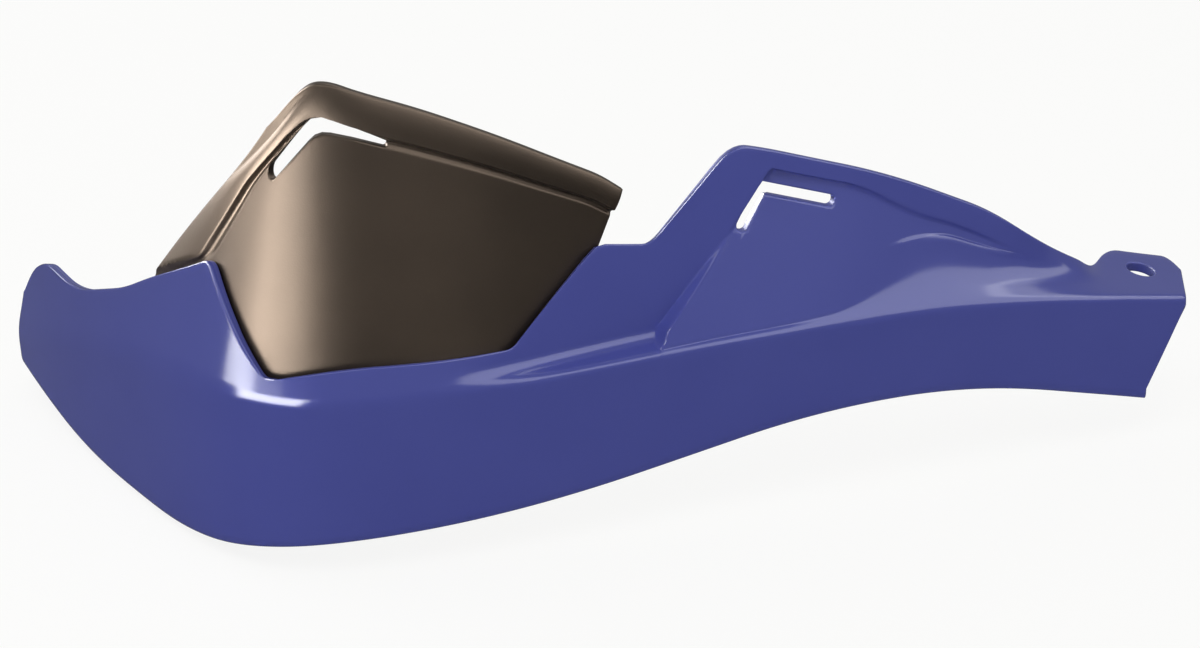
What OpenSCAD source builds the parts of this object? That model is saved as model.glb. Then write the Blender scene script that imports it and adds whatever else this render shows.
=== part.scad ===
// Wrap-around hand guard for a motorcycle handlebar, right-hand side.
// The origin is the centre of the clamp bolt's hole, on the top face of its tab.
// X runs inward along the bar, the band faces -Y and Z is up.
// A place on the guard is [run, depth, height]: the run goes outward along the crease from the inner end,
// the depth goes back from the crease and the height is Z.

/* [Shell] */
// Length of the shell along its crease
guard_run = 431; // [420:1:446]
// Wall of the shell
wall = 3; // [2.4:0.1:3.4]
// How far the band leans in from the crease to its lower edge
band_draft = 4; // [2:0.5:6]
// Width of the flange that turns in under the band
lip_width = 9; // [6:0.5:12]
// Roundness of the band's lower edge
lip_round = 4; // [3.6:0.1:5]
// Depth of the ledge behind the crease, outward of the panel
ledge_depth = 8; // [6:0.5:9]
// Depth of the sweep behind the crease, inward of the panel
sweep_depth = 10; // [8:0.5:12]
// Height of the sweep over the crease
sweep_rise = 12; // [10:0.5:16]

/* [Fin] */
// Height of the fin's tip
fin_top = 64; // [60:1:70]
// Run at the fin's tip
fin_tip_run = 138; // [134:1:142]
// Run at the foot of the fin's outer edge
fin_foot_run = 165; // [162:1:168]
// Height of the shoulder between fin and notch
shoulder_top = 39; // [36:1:42]
// Run at the lower corner of the flat panel in the fin
panel_run = 167; // [160:1:172]
// Width of the step round the panel
panel_step = 1.4; // [1:0.1:2]
// Depth of the panel's lower edge behind the crease
panel_set = 1.2; // [0.8:0.1:2]
// How far the panel sinks under the rim
panel_sink = 2.4; // [1.5:0.1:3]
// Width of the rim over the panel, at the fin's tip
rim_width = 6.5; // [5:0.5:8]
// Width of the angled vent
vent_width = 3.4; // [2.5:0.1:4.5]
// Length of the vent's arm that runs down
vent_drop = 12.2; // [10:0.1:14]
// Length of the vent's arm that runs inward
vent_reach = 21.2; // [18:0.1:24]

/* [Notch] */
// Run at the notch's inner upper corner
notch_in_top = 181; // [178:1:186]
// Run at the notch's inner lower corner
notch_in_low = 209; // [205:1:214]
// Run at the notch's outer lower corner
notch_out_low = 282; // [277:1:286]
// Run at the notch's outer upper corner
notch_out_top = 311; // [306:1:316]
// Height of the notch's floor
notch_floor = 15; // [14:0.5:18]
// Height of the shell's outer corner beside the notch
corner_top = 41; // [38:1:45]

/* [Tab] */
// Diameter of the clamp bolt's hole
bolt_hole = 8.5; // [8.2:0.1:9]
// Distance from the crease back to the hole
hole_depth = 19.5; // [18:0.5:21]
// Run at the hole
hole_run = 13.5; // [12:0.5:15]
// Sideways tilt of the tab
tab_tilt = 12.3; // [8:0.1:15]
// Depth of the tab behind the crease
tab_depth = 33; // [31:0.5:36]
// Width of the tab
tab_width = 24; // [22:0.5:26]

/* [Deflector] */
// Wall of the deflector
deflector_wall = 2.6; // [2:0.1:3]
// Gap between the shell and the deflector
seat_gap = 0.4; // [0.3:0.1:0.8]
// Height of the deflector's peak
deflector_top = 93.5; // [90:0.5:98]
// Height of the deflector's inner corner
deflector_in_top = 54; // [50:1:57]
// Run at the deflector's inner corner
deflector_in_run = 172; // [170:1:175]
// Run at the deflector's outer corner
deflector_out_run = 301; // [296:1:304]
// How far the border stands out
border_rise = 2; // [1:0.1:2.5]

/* [Fasteners] */
// Radius of the screws' thread
screw_r = 1.9; // [1.5:0.1:2.2]
// Radius of the screws' heads
head_r = 3.8; // [3.2:0.1:4.5]
// Thickness of the screws' heads
head_t = 2.4; // [1.8:0.1:3]
// Radius of the washers
washer_r = 6; // [5:0.1:7]
// Thickness of the washers
washer_t = 1; // [0.8:0.1:1.5]
// Radius of the posts that the screws bite into
post_r = 4; // [3.4:0.1:4.6]
// Height of the posts above the deflector
post_rise = 4; // [3:0.5:6]
// Depth of the holes that the screws bite into
screw_bite = 8; // [7:0.5:9]
// Radius of the deflector's collars round the posts
collar_r = 6.5; // [6:0.1:7]
// How far the collars stand over the posts, so that the washers clamp them
collar_proud = 0.2; // [0.1:0.1:0.4]
// Clearance round posts, screws and inserts
fit = 0.1; // [0.05:0.05:0.2]
// Radius of the brass inserts
insert_r = 4.2; // [3.8:0.1:4.6]
// Length of the brass inserts
insert_length = 10; // [8:0.5:12]
// Radius of the inserts' threaded hole
insert_bore_r = 2.5; // [2:0.1:2.8]
// Radius of the bosses that hold the inserts
boss_r = 7; // [6.5:0.1:8]
// Height of the bosses behind the band
boss_height = 12; // [11.5:0.5:14]
// Thickness of the ribs
rib_t = 2; // [1.5:0.1:2.5]
// Depth of the ribs
rib_depth = 6; // [4:0.5:8]

/* [Hidden] */
shell_colour = "#434786";
deflector_colour = "#54473e";
steel_colour = "#9a9ca0";
brass_colour = "#b9974f";

// Rails are bent lines of [run, value, reach of the rounding]
function ramp(d, r) = d <= -r ? 0 : d >= r ? d : (d + r) * (d + r) / (4 * r);
function slope(p, i) = (p[i + 1][1] - p[i][1]) / (p[i + 1][0] - p[i][0]);
function turns(p, t) =
    [for (i = [1:len(p) - 2]) (slope(p, i) - slope(p, i - 1)) * ramp(t - p[i][0], p[i][2])];
function total(v) = v * [for (x = v) 1];
function bent(p, t) = p[0][1] + slope(p, 0) * (t - p[0][0]) + total(turns(p, t));
function mix(a, b, k) = a + (b - a) * k;
function clamp(k) = min(1, max(0, k));
function ease(k) = let (c = clamp(k)) c * c * (3 - 2 * c);
function soft_min(a, b, k) = let (h = max(k - abs(a - b), 0) / k) min(a, b) - h * h * k / 4;
function soft_max(a, b, k) = -soft_min(-a, -b, k);

// Ends of the fin vent's arms from its bend, as [down, outward] in the plane of the panel
vent_low = vent_drop * [cos(36), sin(36)];
vent_in = vent_reach * [cos(71), -sin(71)];
// How far the posts reach down past the deflector's rear face, into the shell's wall
post_root = deflector_wall + seat_gap + wall / 2;
// Length of the screws under their heads
screw_length = screw_bite + collar_proud + washer_t - 0.4;

// Heading of the crease in plan, in degrees
HEADING = [[0, 26, 0], [100, 22.5, 60], [205, 21, 40], [256, 14.5, 18], [302, -47, 16], [330, -58, 12],
    [guard_run, -69, 0]];
PATH = [for (i = 0, p = [0, 0]; i <= guard_run + 1;
    p = p - [cos(bent(HEADING, i + 0.5)), sin(bent(HEADING, i + 0.5))], i = i + 1) p];
function along(t) = let (i = max(0, min(floor(t), len(PATH) - 2)))
    PATH[i] + (PATH[i + 1] - PATH[i]) * (t - i);
// The sections turn from straight back at the tab to square to the crease
function aim(t) = bent(HEADING, t) * bent([[0, 0, 0], [16, 0, 6], [44, 1, 10], [500, 1, 0]], t);
function back(t) = [-sin(aim(t)), cos(aim(t))];
HOLE = along(hole_run) + hole_depth * back(hole_run);
function plan(t, depth) = along(t) + depth * back(t) - HOLE;
function place(t, depth, height) = let (p = plan(t, depth)) [p[0], p[1], height];

// The tab lies in a plane through the origin
function on_tab(t, depth) = -tan(tab_tilt) * plan(t, depth)[0];
function tab_share(t) = 1 - ease((t - 20) / 12);
function near_tab(t, depth, height) = mix(height, on_tab(t, depth), tab_share(t));

// Rails of the shell
function crease_z(t) = near_tab(t, 0, bent([[0, -2.8, 0], [50, 6.8, 25], [125, 12, 45], [240, 7.4, 50],
    [300, 9, 20], [350, 3, 25], [guard_run, -27, 0]], t));
function low_z(t) = bent([[0, -39, 0], [65, -19.8, 25], [115, -18.6, 25], [205, -35, 35], [270, -38, 20],
    [318, -46, 20], [380, -46.5, 20], [guard_run, -39.5, 0]], t);
function ledge_in(t) = bent([[0, 9, 0], [18, 15, 5], [28, 9, 5], [60, sweep_depth, 10], [95, sweep_depth, 10],
    [125, ledge_depth - 1.5, 15], [panel_run, ledge_depth, 15], [200, ledge_depth - 2, 10], [228, 0.4, 14],
    [guard_run, 0.4, 0]], t);
function ledge_z(t) = near_tab(t, ledge_in(t), crease_z(t) + bent([[0, 0, 0], [25, 0.5, 5], [50, 5, 8],
    [62, 7.5, 6], [78, sweep_rise, 8], [95, sweep_rise - 2, 8], [125, 2, 12], [panel_run, 1.5, 10],
    [guard_run, 1.5, 0]], t));
function rim_in(t) = bent([[0, 19, 0], [4, tab_depth - 4, 2.5], [tab_width - 3, tab_depth, 2.5],
    [tab_width + 3, 17, 2.5], [46, 10.5, 8], [62, 11.5, 8], [fin_tip_run, 15.5, 20], [200, 17, 30],
    [guard_run, 17, 0]], t);
function rim_z(t) = near_tab(t, rim_in(t), bent([[0, -2.8, 0], [24, 3, 4], [58, 30.5, 8], [90, 47, 15],
    [fin_tip_run, fin_top, 15], [165, fin_top + 4, 10], [guard_run, fin_top + 4, 0]], t));
// Outline of everything outward of the fin's tip
OUTLINE = [[fin_tip_run, fin_top, 0], [fin_foot_run, shoulder_top, 3], [notch_in_top, shoulder_top + 2.4, 2],
    [notch_in_low, notch_floor + 1.6, 2], [262, notch_floor + 3.2, 14], [notch_out_low, notch_floor - 1, 2],
    [notch_out_top, corner_top, 2.5], [338, 27, 8], [353, 18, 6], [385, 4.5, 12], [414, 1.5, 6],
    [425, -5.5, 4], [guard_run, -16, 0]];
function top_z(t) = t < 60 ? rim_z(t) : soft_min(rim_z(t), bent(OUTLINE, t), 6);

// The knee sits at the ledge's end under the fin, and slides up the wall where there is no ledge
function knee_slide(t) = bent([[0, 0, 0], [200, 0, 5], [228, 0.045, 5], [288, 0.045, 5], [306, 0.14, 6],
    [340, 0.14, 6], [358, 0.08, 6], [guard_run, 0.08, 0]], t);
function knee(t) = mix([ledge_in(t), ledge_z(t)], [rim_in(t), rim_z(t)], knee_slide(t));
// Section of the wall at a run, as corners in [depth, height]: lip, lower edge, crease, knee, rim.
// The band leans in by its draft over a height of draft_height
draft_height = 45;
function draft(t) = band_draft * (crease_z(t) - low_z(t)) / draft_height;
function corners(t) = [[draft(t) + lip_width, low_z(t)], [draft(t), low_z(t)], [0, crease_z(t)],
    knee(t), [rim_in(t), rim_z(t)]];
// How far the rounding of each corner reaches
function crease_round(t) =
    bent([[0, 2.2, 0], [200, 2.2, 20], [300, 8, 20], [340, 16, 20], [guard_run, 16, 0]], t);
function reaches(t) = [0, lip_round, crease_round(t), knee_round(t), 0];
function knee_round(t) =
    bent([[0, 2, 0], [30, 2, 6], [60, 7, 12], [90, 7, 12], [130, 3, 15], [guard_run, 3, 0]], t);
function unit(v) = v / norm(v);
function inward(a, b) = let (d = unit(b - a)) [d[1], -d[0]];
function moved(p, i, d) = i == 0 ? p[0] + d * inward(p[0], p[1])
    : i == len(p) - 1 ? p[i] + d * inward(p[i - 1], p[i])
    : let (m = inward(p[i - 1], p[i]), n = inward(p[i], p[i + 1])) p[i] + d * (m + n) / (1 + m * n);
// The same corners on a surface that lies d inside the outer one
function inset_corners(t, d) = let (c = corners(t)) [for (i = [0:4]) moved(c, i, d)];
function bezier(a, b, c, k) = (1 - k) * (1 - k) * a + 2 * k * (1 - k) * b + k * k * c;
function reach_of(c, r, i) = min(r[i], 0.48 * norm(c[i] - c[i - 1]), 0.48 * norm(c[i + 1] - c[i]));
function leaving(c, r, i) = i == 0 ? c[0] : c[i] + reach_of(c, r, i) * unit(c[i + 1] - c[i]);
function arriving(c, r, i) = i == len(c) - 1 ? c[i] : c[i] + reach_of(c, r, i) * unit(c[i - 1] - c[i]);

// A row is [corner, share]: round a corner for a share under 1, or on along the side after it for one above 1
function on_row(c, r, row) = row[1] <= 1 && row[0] > 0
    ? bezier(arriving(c, r, row[0]), c[row[0]], leaving(c, r, row[0]), row[1])
    : mix(leaving(c, r, row[0]), arriving(c, r, row[0] + 1), row[1] - 1);
BAND_ROWS = [[0, 1], [1, 0], [1, 0.25], [1, 0.5], [1, 0.75], [1, 1], [1, 1.3], [1, 1.65]];
LEDGE_ROWS = [[2, 0], [2, 0.33], [2, 0.67], [2, 1], [2, 1.35], [2, 1.7]];
KNEE_ROWS = [[3, 0], [3, 0.25], [3, 0.5], [3, 0.75], [3, 1]];

// Columns lean with the panel's outer edge above the crease, and with the cut inner end below it
knee_share = 0.05;
function lean_share(k) = mix(knee_share, 1, k * (1.35 - 0.35 * k));
function lean_above(u) =
    bent([[0, 0, 0], [60, 0, 10], [panel_run, -46, 8], [200, 0, 8], [guard_run, 0, 0]], u);
function lean_below(u) = bent([[0, 12, 0], [60, 0, 10], [guard_run, 0, 0]], u);
function wall_run(u, k) = u + lean_above(u) * lean_share(k);
function knee_run(u, row) = u + lean_above(u) * knee_share * row[1];
function band_share(row) = row[0] == 0 ? 1 : 1 - max(0, row[1] - 1);
function band_run(u, row) = u + lean_below(u) * band_share(row);
// Share of the wall, from knee to rim, at which a column meets the outline
function wall_point(t, k, d) = let (c = inset_corners(t, d)) mix(leaving(c, reaches(t), 3), c[4], k);
function over(u, k) = let (t = wall_run(u, k)) wall_point(t, k, 0)[1] - top_z(t);
function meet(u, lo, hi, n) = n == 0 ? hi : let (m = (lo + hi) / 2)
    over(u, m) > 0 ? meet(u, lo, m, n - 1) : meet(u, m, hi, n - 1);
function top_share(u) = u < 60 ? 1 : over(u, 1) <= 0 ? 1 : meet(u, 0, 1, 16);
function rim_share(u) = let (k = top_share(u), t = wall_run(u, k), w = rim_width + 7.5 * ease((102 - t) / 34))
    max(k - w / (rim_z(t) - knee(t)[1]), 0.1 * k);

// The panel in the fin lies in a plane through two points behind the crease and one under the tip,
// and bends back where the sweep begins
bend_run = 105;
panel_bend = 0.15;
// A wall that leans is thicker along the depth than square to itself, by these factors
panel_slant = 1.06;
band_slant = 1.005;
PANEL_A = place(panel_run, panel_set, crease_z(panel_run));
PANEL_B = place(bend_run, panel_set, crease_z(bend_run));
tip_t = fin_tip_run - 6;
PANEL_C = let (h = fin_top - 14, a = knee(tip_t), b = [rim_in(tip_t), rim_z(tip_t)])
    place(tip_t, mix(a[0], b[0], (h - a[1]) / (b[1] - a[1])) + panel_sink, h);
PANEL_N = cross(PANEL_B - PANEL_A, PANEL_C - PANEL_A);
function panel_depth(t, h) = (PANEL_N * (PANEL_A - place(t, 0, h))) / (PANEL_N * [back(t)[0], back(t)[1], 0])
    + panel_bend * ramp(bend_run - t, 12);
function band_depth(t, h) = draft(t) * (crease_z(t) - h) / (crease_z(t) - low_z(t));
function panel_share(u, t, d) =
    ease((panel_run - d - u) / (d > 0 ? 3 : panel_step)) * ease((t - 50) / 14);
// Below the wall the ledge runs back only as far as the panel, blended widely into the sweep
function sweep_blend(t) = mix(2.5, 0.8, ease((t - 95) / 20));
function with_panel(u, t, p, d, low = false) =
    let (m = panel_share(u, t, d), sunk = panel_depth(t, p[1]) + d * panel_slant)
        m == 0 ? p : [mix(p[0], low ? soft_min(p[0], sunk, sweep_blend(t)) : sunk, m), p[1]];
function lift(t, p) = place(t, p[0], p[1]);

// Columns are packed closer where the outline turns
function span(a, b, n) = [for (i = [0:n - 1]) mix(a, b, i / n)];
COLUMNS = concat(span(0, 4, 3), span(4, tab_width - 5, 3), span(tab_width - 5, tab_width + 6, 6),
    span(tab_width + 6, 60, 6), span(60, 120, 11), span(120, panel_run - panel_step, 6),
    [panel_run - panel_step],
    span(panel_run, notch_in_top + 2, 7), span(notch_in_top + 2, notch_in_low - 2, 4),
    span(notch_in_low - 2, notch_in_low + 2, 3), span(notch_in_low + 2, 252, 5),
    span(252, notch_out_low - 2, 6),
    span(notch_out_low - 2, notch_out_low + 2, 3), span(notch_out_low + 2, notch_out_top - 2, 6),
    span(notch_out_top - 2, notch_out_top + 3, 4), span(notch_out_top + 3, 410, 14),
    span(410, guard_run, 8), [guard_run]);
WALL_STEPS = [0.2, 0.4, 0.6, 0.8, 1];
RIM_STEPS = [0.2, 0.6, 1];
function column(u, d) = let (k = top_share(u), r = rim_share(u)) concat(
    [for (row = BAND_ROWS) let (t = band_run(u, row)) lift(t, on_row(inset_corners(t, d), reaches(t), row))],
    [for (row = LEDGE_ROWS) lift(u, with_panel(u, u, on_row(inset_corners(u, d), reaches(u), row), d, true))],
    [for (row = KNEE_ROWS) let (t = knee_run(u, row), p = on_row(inset_corners(t, d), reaches(t), row))
        lift(t, with_panel(u, t, p, d, true))],
    [for (s = WALL_STEPS) let (t = wall_run(u, s * r)) lift(t, with_panel(u, t, wall_point(t, s * r, d), d))],
    [for (s = RIM_STEPS) let (m = mix(r, k, s), t = wall_run(u, m), p = wall_point(t, m, d))
        lift(t, d > 0 && s < 0.5 ? with_panel(u, t, p, d) : p)]);

// A closed sheet between two grids of points
module sheet(front, rear) {
    n = len(front);
    m = len(front[0]);
    points = [for (side = [front, rear]) for (c = side) for (p = c) p];
    function at(side, i, j) = (side * n + i) * m + j;
    function quad(a, b, c, d) = [[a, c, b], [a, d, c]];
    faces = concat(
        [for (i = [0:n - 2]) for (j = [0:m - 2])
            each quad(at(0, i, j), at(0, i, j + 1), at(0, i + 1, j + 1), at(0, i + 1, j))],
        [for (i = [0:n - 2]) for (j = [0:m - 2])
            each quad(at(1, i, j), at(1, i + 1, j), at(1, i + 1, j + 1), at(1, i, j + 1))],
        [for (i = [0:n - 2]) each quad(at(0, i, 0), at(0, i + 1, 0), at(1, i + 1, 0), at(1, i, 0))],
        [for (i = [0:n - 2])
            each quad(at(0, i, m - 1), at(1, i, m - 1), at(1, i + 1, m - 1), at(0, i + 1, m - 1))],
        [for (j = [0:m - 2]) each quad(at(0, 0, j), at(1, 0, j), at(1, 0, j + 1), at(0, 0, j + 1))],
        [for (j = [0:m - 2])
            each quad(at(0, n - 1, j), at(0, n - 1, j + 1), at(1, n - 1, j + 1), at(1, n - 1, j))]);
    polyhedron(points, faces, convexity = 8);
}

// Puts its children at a place on the wall, with their Z pointing square into the guard
module set_in(t, depth, height, lean = 0) {
    translate(place(t, depth, height)) rotate([0, 90 + lean, 90 + aim(t)]) children();
}

// A straight cut with round ends between two points of a plane
module round_bar(a, b, w) {
    d = b - a;
    translate(a) circle(d = w, $fn = 24);
    translate(b) circle(d = w, $fn = 24);
    translate(a) rotate(atan2(d[1], d[0])) translate([0, -w / 2]) square([norm(d), w]);
}

// Depth of the wall at a height over the knee, on a surface that lies d inside the outer one
function wall_depth(t, h, d) = let (c = inset_corners(t, d), k = (h - c[3][1]) / (c[4][1] - c[3][1]))
    mix(c[3][0], c[4][0], k);
function band_inner(t, h) = band_depth(t, h) + wall * band_slant;

// Angled vent under the fin's tip, cut square to the panel
VENT = [130, 49];
vent_lean = atan2(panel_depth(VENT[0], VENT[1]) - panel_depth(VENT[0], VENT[1] - 10), 10);
module vent_cut() {
    set_in(VENT[0], panel_depth(VENT[0], VENT[1]), VENT[1], vent_lean)
            translate([0, 0, -8]) linear_extrude(22) {
        round_bar([0, 0], vent_low, vent_width);
        round_bar([0, 0], vent_in, vent_width);
    }
}

// Ribs on the back of the band
RIBS = [40, 140, 185, 300, 350, 395];
module rib(t) {
    high = mix(crease_z(t), low_z(t), 0.3);
    low = low_z(t) + wall / 2;
    translate(place(t, 0, 0)) rotate([90, 0, 90 + aim(t)]) translate([0, 0, -rib_t / 2]) linear_extrude(rib_t)
        polygon([[band_inner(t, high) - wall / 2, high], [band_inner(t, low) - wall / 2, low],
            [band_inner(t, low) + rib_depth, low], [band_inner(t, high) + rib_depth / 2, high]]);
}

// Bosses on the back of the band, for the inserts
BOSSES = [[232, -14], [92, -3]];
module boss_at(i) {
    set_in(BOSSES[i][0], band_inner(BOSSES[i][0], BOSSES[i][1]), BOSSES[i][1]) children();
}

// Front face of the deflector, a gap behind the shell
function sheet_depth(t, h) =
    soft_max(band_depth(t, h) + wall + seat_gap, wall_depth(t, h, wall + seat_gap), 3);
function sheet_lean(t, h) = atan2(sheet_depth(t, h + 3) - sheet_depth(t, h - 3), 6);

// Posts on the shell's back, one for each screw of the deflector, which they pass through
POSTS = [[189.5, 25], [226, 4], [264, 3], [320, 17]];
module post_at(i) {
    t = POSTS[i][0];
    h = POSTS[i][1];
    set_in(t, sheet_depth(t, h), h, sheet_lean(t, h)) translate([0, 0, deflector_wall]) children();
}

module blank() {
    sheet([for (u = COLUMNS) column(u, 0)], [for (u = COLUMNS) column(u, wall)]);
}

module shell() {
    color(shell_colour) difference() {
        union() {
            blank();
            for (t = RIBS) rib(t);
            for (i = [0:len(BOSSES) - 1]) boss_at(i) translate([0, 0, -1])
                cylinder(r = boss_r, h = boss_height + 1, $fn = 48);
            for (i = [0:len(POSTS) - 1]) post_at(i) translate([0, 0, -post_root])
                cylinder(r = post_r, h = post_root + post_rise, $fn = 32);
        }
        rotate([0, tab_tilt, 0]) cylinder(d = bolt_hole, h = 6 * wall, center = true, $fn = 48);
        vent_cut();
        for (i = [0:len(BOSSES) - 1]) boss_at(i) translate([0, 0, boss_height - insert_length - 1])
            cylinder(r = insert_r + fit, h = insert_length + 2, $fn = 48);
        for (i = [0:len(POSTS) - 1]) post_at(i) translate([0, 0, post_rise - screw_bite])
            cylinder(r = screw_r + fit, h = screw_bite + 1, $fn = 24);
    }
}

// The deflector is a leaning patch between four edges in [run, height]
function low_edge(c) = let (t = mix(foot_in_run, foot_out_run, c)) [t, bent(DEFLECTOR_FOOT, t)];
function high_edge(c) = let (t = mix(deflector_in_run, deflector_out_run, c)) [t, bent(DEFLECTOR_CREST, t)];
foot_in_run = 190;
foot_in_z = -4;
foot_out_run = 346;
foot_out_z = 20;
DEFLECTOR_FOOT = [[foot_in_run, foot_in_z, 0], [280, -5, 20], [318, 4, 12], [foot_out_run, foot_out_z, 0]];
outer_corner_z = 80;
DEFLECTOR_CREST = [[deflector_in_run, deflector_in_top + 0.6, 0], [178, deflector_in_top + 5.2, 3],
    [208, 74.6, 10], [236, 86.6, 14], [264, deflector_top + 0.9, 8], [290, deflector_top - 3.9, 4],
    [deflector_out_run, outer_corner_z, 0]];
// The inner edge steps back above the shell's shoulder and the outer edge bows out, as [height, run]
DEFLECTOR_INNER = [[foot_in_z, foot_in_run, 0], [36, notch_in_top, 4],
    [deflector_in_top, deflector_in_run, 0]];
DEFLECTOR_OUTER = [[foot_out_z, foot_out_run, 0], [52, 324.5, 12], [outer_corner_z, deflector_out_run, 0]];
function flat(c, g) = mix(low_edge(c), high_edge(c), g);
function inner_edge(g) = let (h = flat(0, g)[1]) [bent(DEFLECTOR_INNER, h), h];
function outer_edge(g) = let (h = flat(1, g)[1]) [bent(DEFLECTOR_OUTER, h), h];
function patch(c, g) =
    flat(c, g) + (1 - c) * (inner_edge(g) - flat(0, g)) + c * (outer_edge(g) - flat(1, g));
// The border stands out along the outer and upper edges, over the shell's own edge only
function over_shell(t, h) = ease((h - bent(OUTLINE, t) - 2) / 5);
function border(c, g) = let (p = patch(c, g), a = ease((border_share - (1 - g)) / border_step),
    b = ease((border_span - (1 - c)) / border_step)) max(a, b) * over_shell(p[0], p[1]);
border_share = 0.1;
border_span = 0.085;
border_step = 0.02;
ACROSS = concat(span(0, 1 - border_span, 30), [for (k = [0, 0.3, 0.65, 1]) 1 - border_span * (1 - k)]);
UP = concat(span(0, 1 - border_share, 16), [for (k = [0, 0.3, 0.65, 1]) 1 - border_share * (1 - k)]);
function sheet_point(c, g, d) = let (p = patch(c, g), lean = sheet_lean(p[0], p[1]))
    place(p[0], sheet_depth(p[0], p[1]) + d / cos(lean) - border_rise * border(c, g), p[1]);

module deflector() {
    color(deflector_colour) difference() {
        union() {
            sheet([for (c = ACROSS) [for (g = UP) sheet_point(c, g, 0)]],
                [for (c = ACROSS) [for (g = UP) sheet_point(c, g, deflector_wall)]]);
            for (i = [0:len(POSTS) - 1]) post_at(i) translate([0, 0, -1])
                cylinder(r = collar_r, h = post_rise + 1 + collar_proud, $fn = 48);
        }
        for (i = [0:len(POSTS) - 1]) post_at(i) translate([0, 0, -post_root])
            cylinder(r = post_r + 2 * fit, h = post_root + post_rise + 2, $fn = 32);
        peak_vent_cut();
    }
}

// Angled vent under the deflector's peak, wide at the bend
PEAK_VENT = [270, 79];
// Centres of the vent's width as [down, outward, radius]
PEAK_BENDS = [[10.3, 11, 1.7], [-0.5, 2, 2.4], [-2.5, -4.5, 2.2], [2, -19.5, 1.1]];
module peak_vent_cut() {
    t = PEAK_VENT[0];
    h = PEAK_VENT[1];
    set_in(t, sheet_depth(t, h), h, sheet_lean(t, h)) translate([0, 0, -12]) linear_extrude(28)
        for (i = [0:len(PEAK_BENDS) - 2]) hull() for (b = [PEAK_BENDS[i], PEAK_BENDS[i + 1]])
            translate([b[0], b[1]]) circle(r = b[2], $fn = 24);
}

// A pan-head screw, its head resting on the washer
module screw(i) {
    color(steel_colour) post_at(i) translate([0, 0, post_rise + collar_proud + washer_t]) {
        difference() {
            rotate_extrude($fn = 48) polygon([[0, 0], [head_r, 0], [head_r, head_t * 0.45],
                [head_r * 0.82, head_t * 0.85], [head_r * 0.4, head_t], [0, head_t]]);
            translate([0, 0, head_t * 0.4]) for (a = [0, 90]) rotate(a)
                translate([-head_r * 0.55, -head_r * 0.1, 0]) cube([head_r * 1.1, head_r * 0.2, head_t]);
        }
        translate([0, 0, screw_r - screw_length])
            cylinder(r = screw_r, h = screw_length - screw_r + 0.5, $fn = 24);
        translate([0, 0, -screw_length]) cylinder(r1 = screw_r * 0.3, r2 = screw_r, h = screw_r, $fn = 24);
    }
}

module washer(i) {
    color(steel_colour) post_at(i) translate([0, 0, post_rise + collar_proud]) difference() {
        cylinder(r = washer_r, h = washer_t, $fn = 48);
        translate([0, 0, -1]) cylinder(r = screw_r + 2 * fit, h = washer_t + 2, $fn = 24);
    }
}

module bar_insert(i) {
    color(brass_colour) boss_at(i) translate([0, 0, boss_height - insert_length]) difference() {
        union() {
            cylinder(r = insert_r, h = insert_length * 0.36, $fn = 48);
            cylinder(r = insert_r - 0.5, h = insert_length, $fn = 48);
            translate([0, 0, insert_length * 0.52])
                cylinder(r = insert_r, h = insert_length * 0.48, $fn = 48);
        }
        translate([0, 0, -1]) cylinder(r = insert_bore_r, h = insert_length + 2, $fn = 48);
    }
}

shell();
deflector();
screw(0);  // deflector_screw_1
screw(1);  // deflector_screw_2
screw(2);  // deflector_screw_3
screw(3);  // deflector_screw_4
washer(0);  // deflector_washer_1
washer(1);  // deflector_washer_2
washer(2);  // deflector_washer_3
washer(3);  // deflector_washer_4
bar_insert(0);  // bar_insert_1
bar_insert(1);  // bar_insert_2
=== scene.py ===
import math

import bpy
import numpy as np
from mathutils import Matrix, Vector


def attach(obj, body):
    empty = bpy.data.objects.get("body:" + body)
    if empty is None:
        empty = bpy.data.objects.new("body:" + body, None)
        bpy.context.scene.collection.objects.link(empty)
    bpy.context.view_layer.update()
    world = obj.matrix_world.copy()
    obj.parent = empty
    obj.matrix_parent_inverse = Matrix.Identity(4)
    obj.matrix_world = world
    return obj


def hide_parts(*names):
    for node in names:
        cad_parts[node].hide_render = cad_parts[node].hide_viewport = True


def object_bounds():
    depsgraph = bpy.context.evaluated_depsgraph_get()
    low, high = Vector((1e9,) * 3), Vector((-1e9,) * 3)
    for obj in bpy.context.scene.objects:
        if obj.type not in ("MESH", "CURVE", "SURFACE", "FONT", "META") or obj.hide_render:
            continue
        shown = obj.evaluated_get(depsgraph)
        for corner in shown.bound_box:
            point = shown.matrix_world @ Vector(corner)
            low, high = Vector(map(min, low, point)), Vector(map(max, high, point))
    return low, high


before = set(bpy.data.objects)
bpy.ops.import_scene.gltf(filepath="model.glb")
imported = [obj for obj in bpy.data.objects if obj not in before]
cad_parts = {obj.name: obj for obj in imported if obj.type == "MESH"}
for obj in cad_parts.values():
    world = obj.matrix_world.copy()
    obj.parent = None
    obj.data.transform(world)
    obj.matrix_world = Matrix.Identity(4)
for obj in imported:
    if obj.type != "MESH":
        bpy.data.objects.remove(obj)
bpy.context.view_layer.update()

# Hand guard for a motorcycle handlebar: a glossy blue shell moulded in one piece, with a satin bronze
# deflector screwed on behind its notch. Sizes are in millimetres until a mesh is made, then in metres.
# A place on the guard is [run, depth, height]: the run goes outward along the crease from the inner end,
# the depth goes back from the crease and the height is Z.

MM = 0.001

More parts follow.
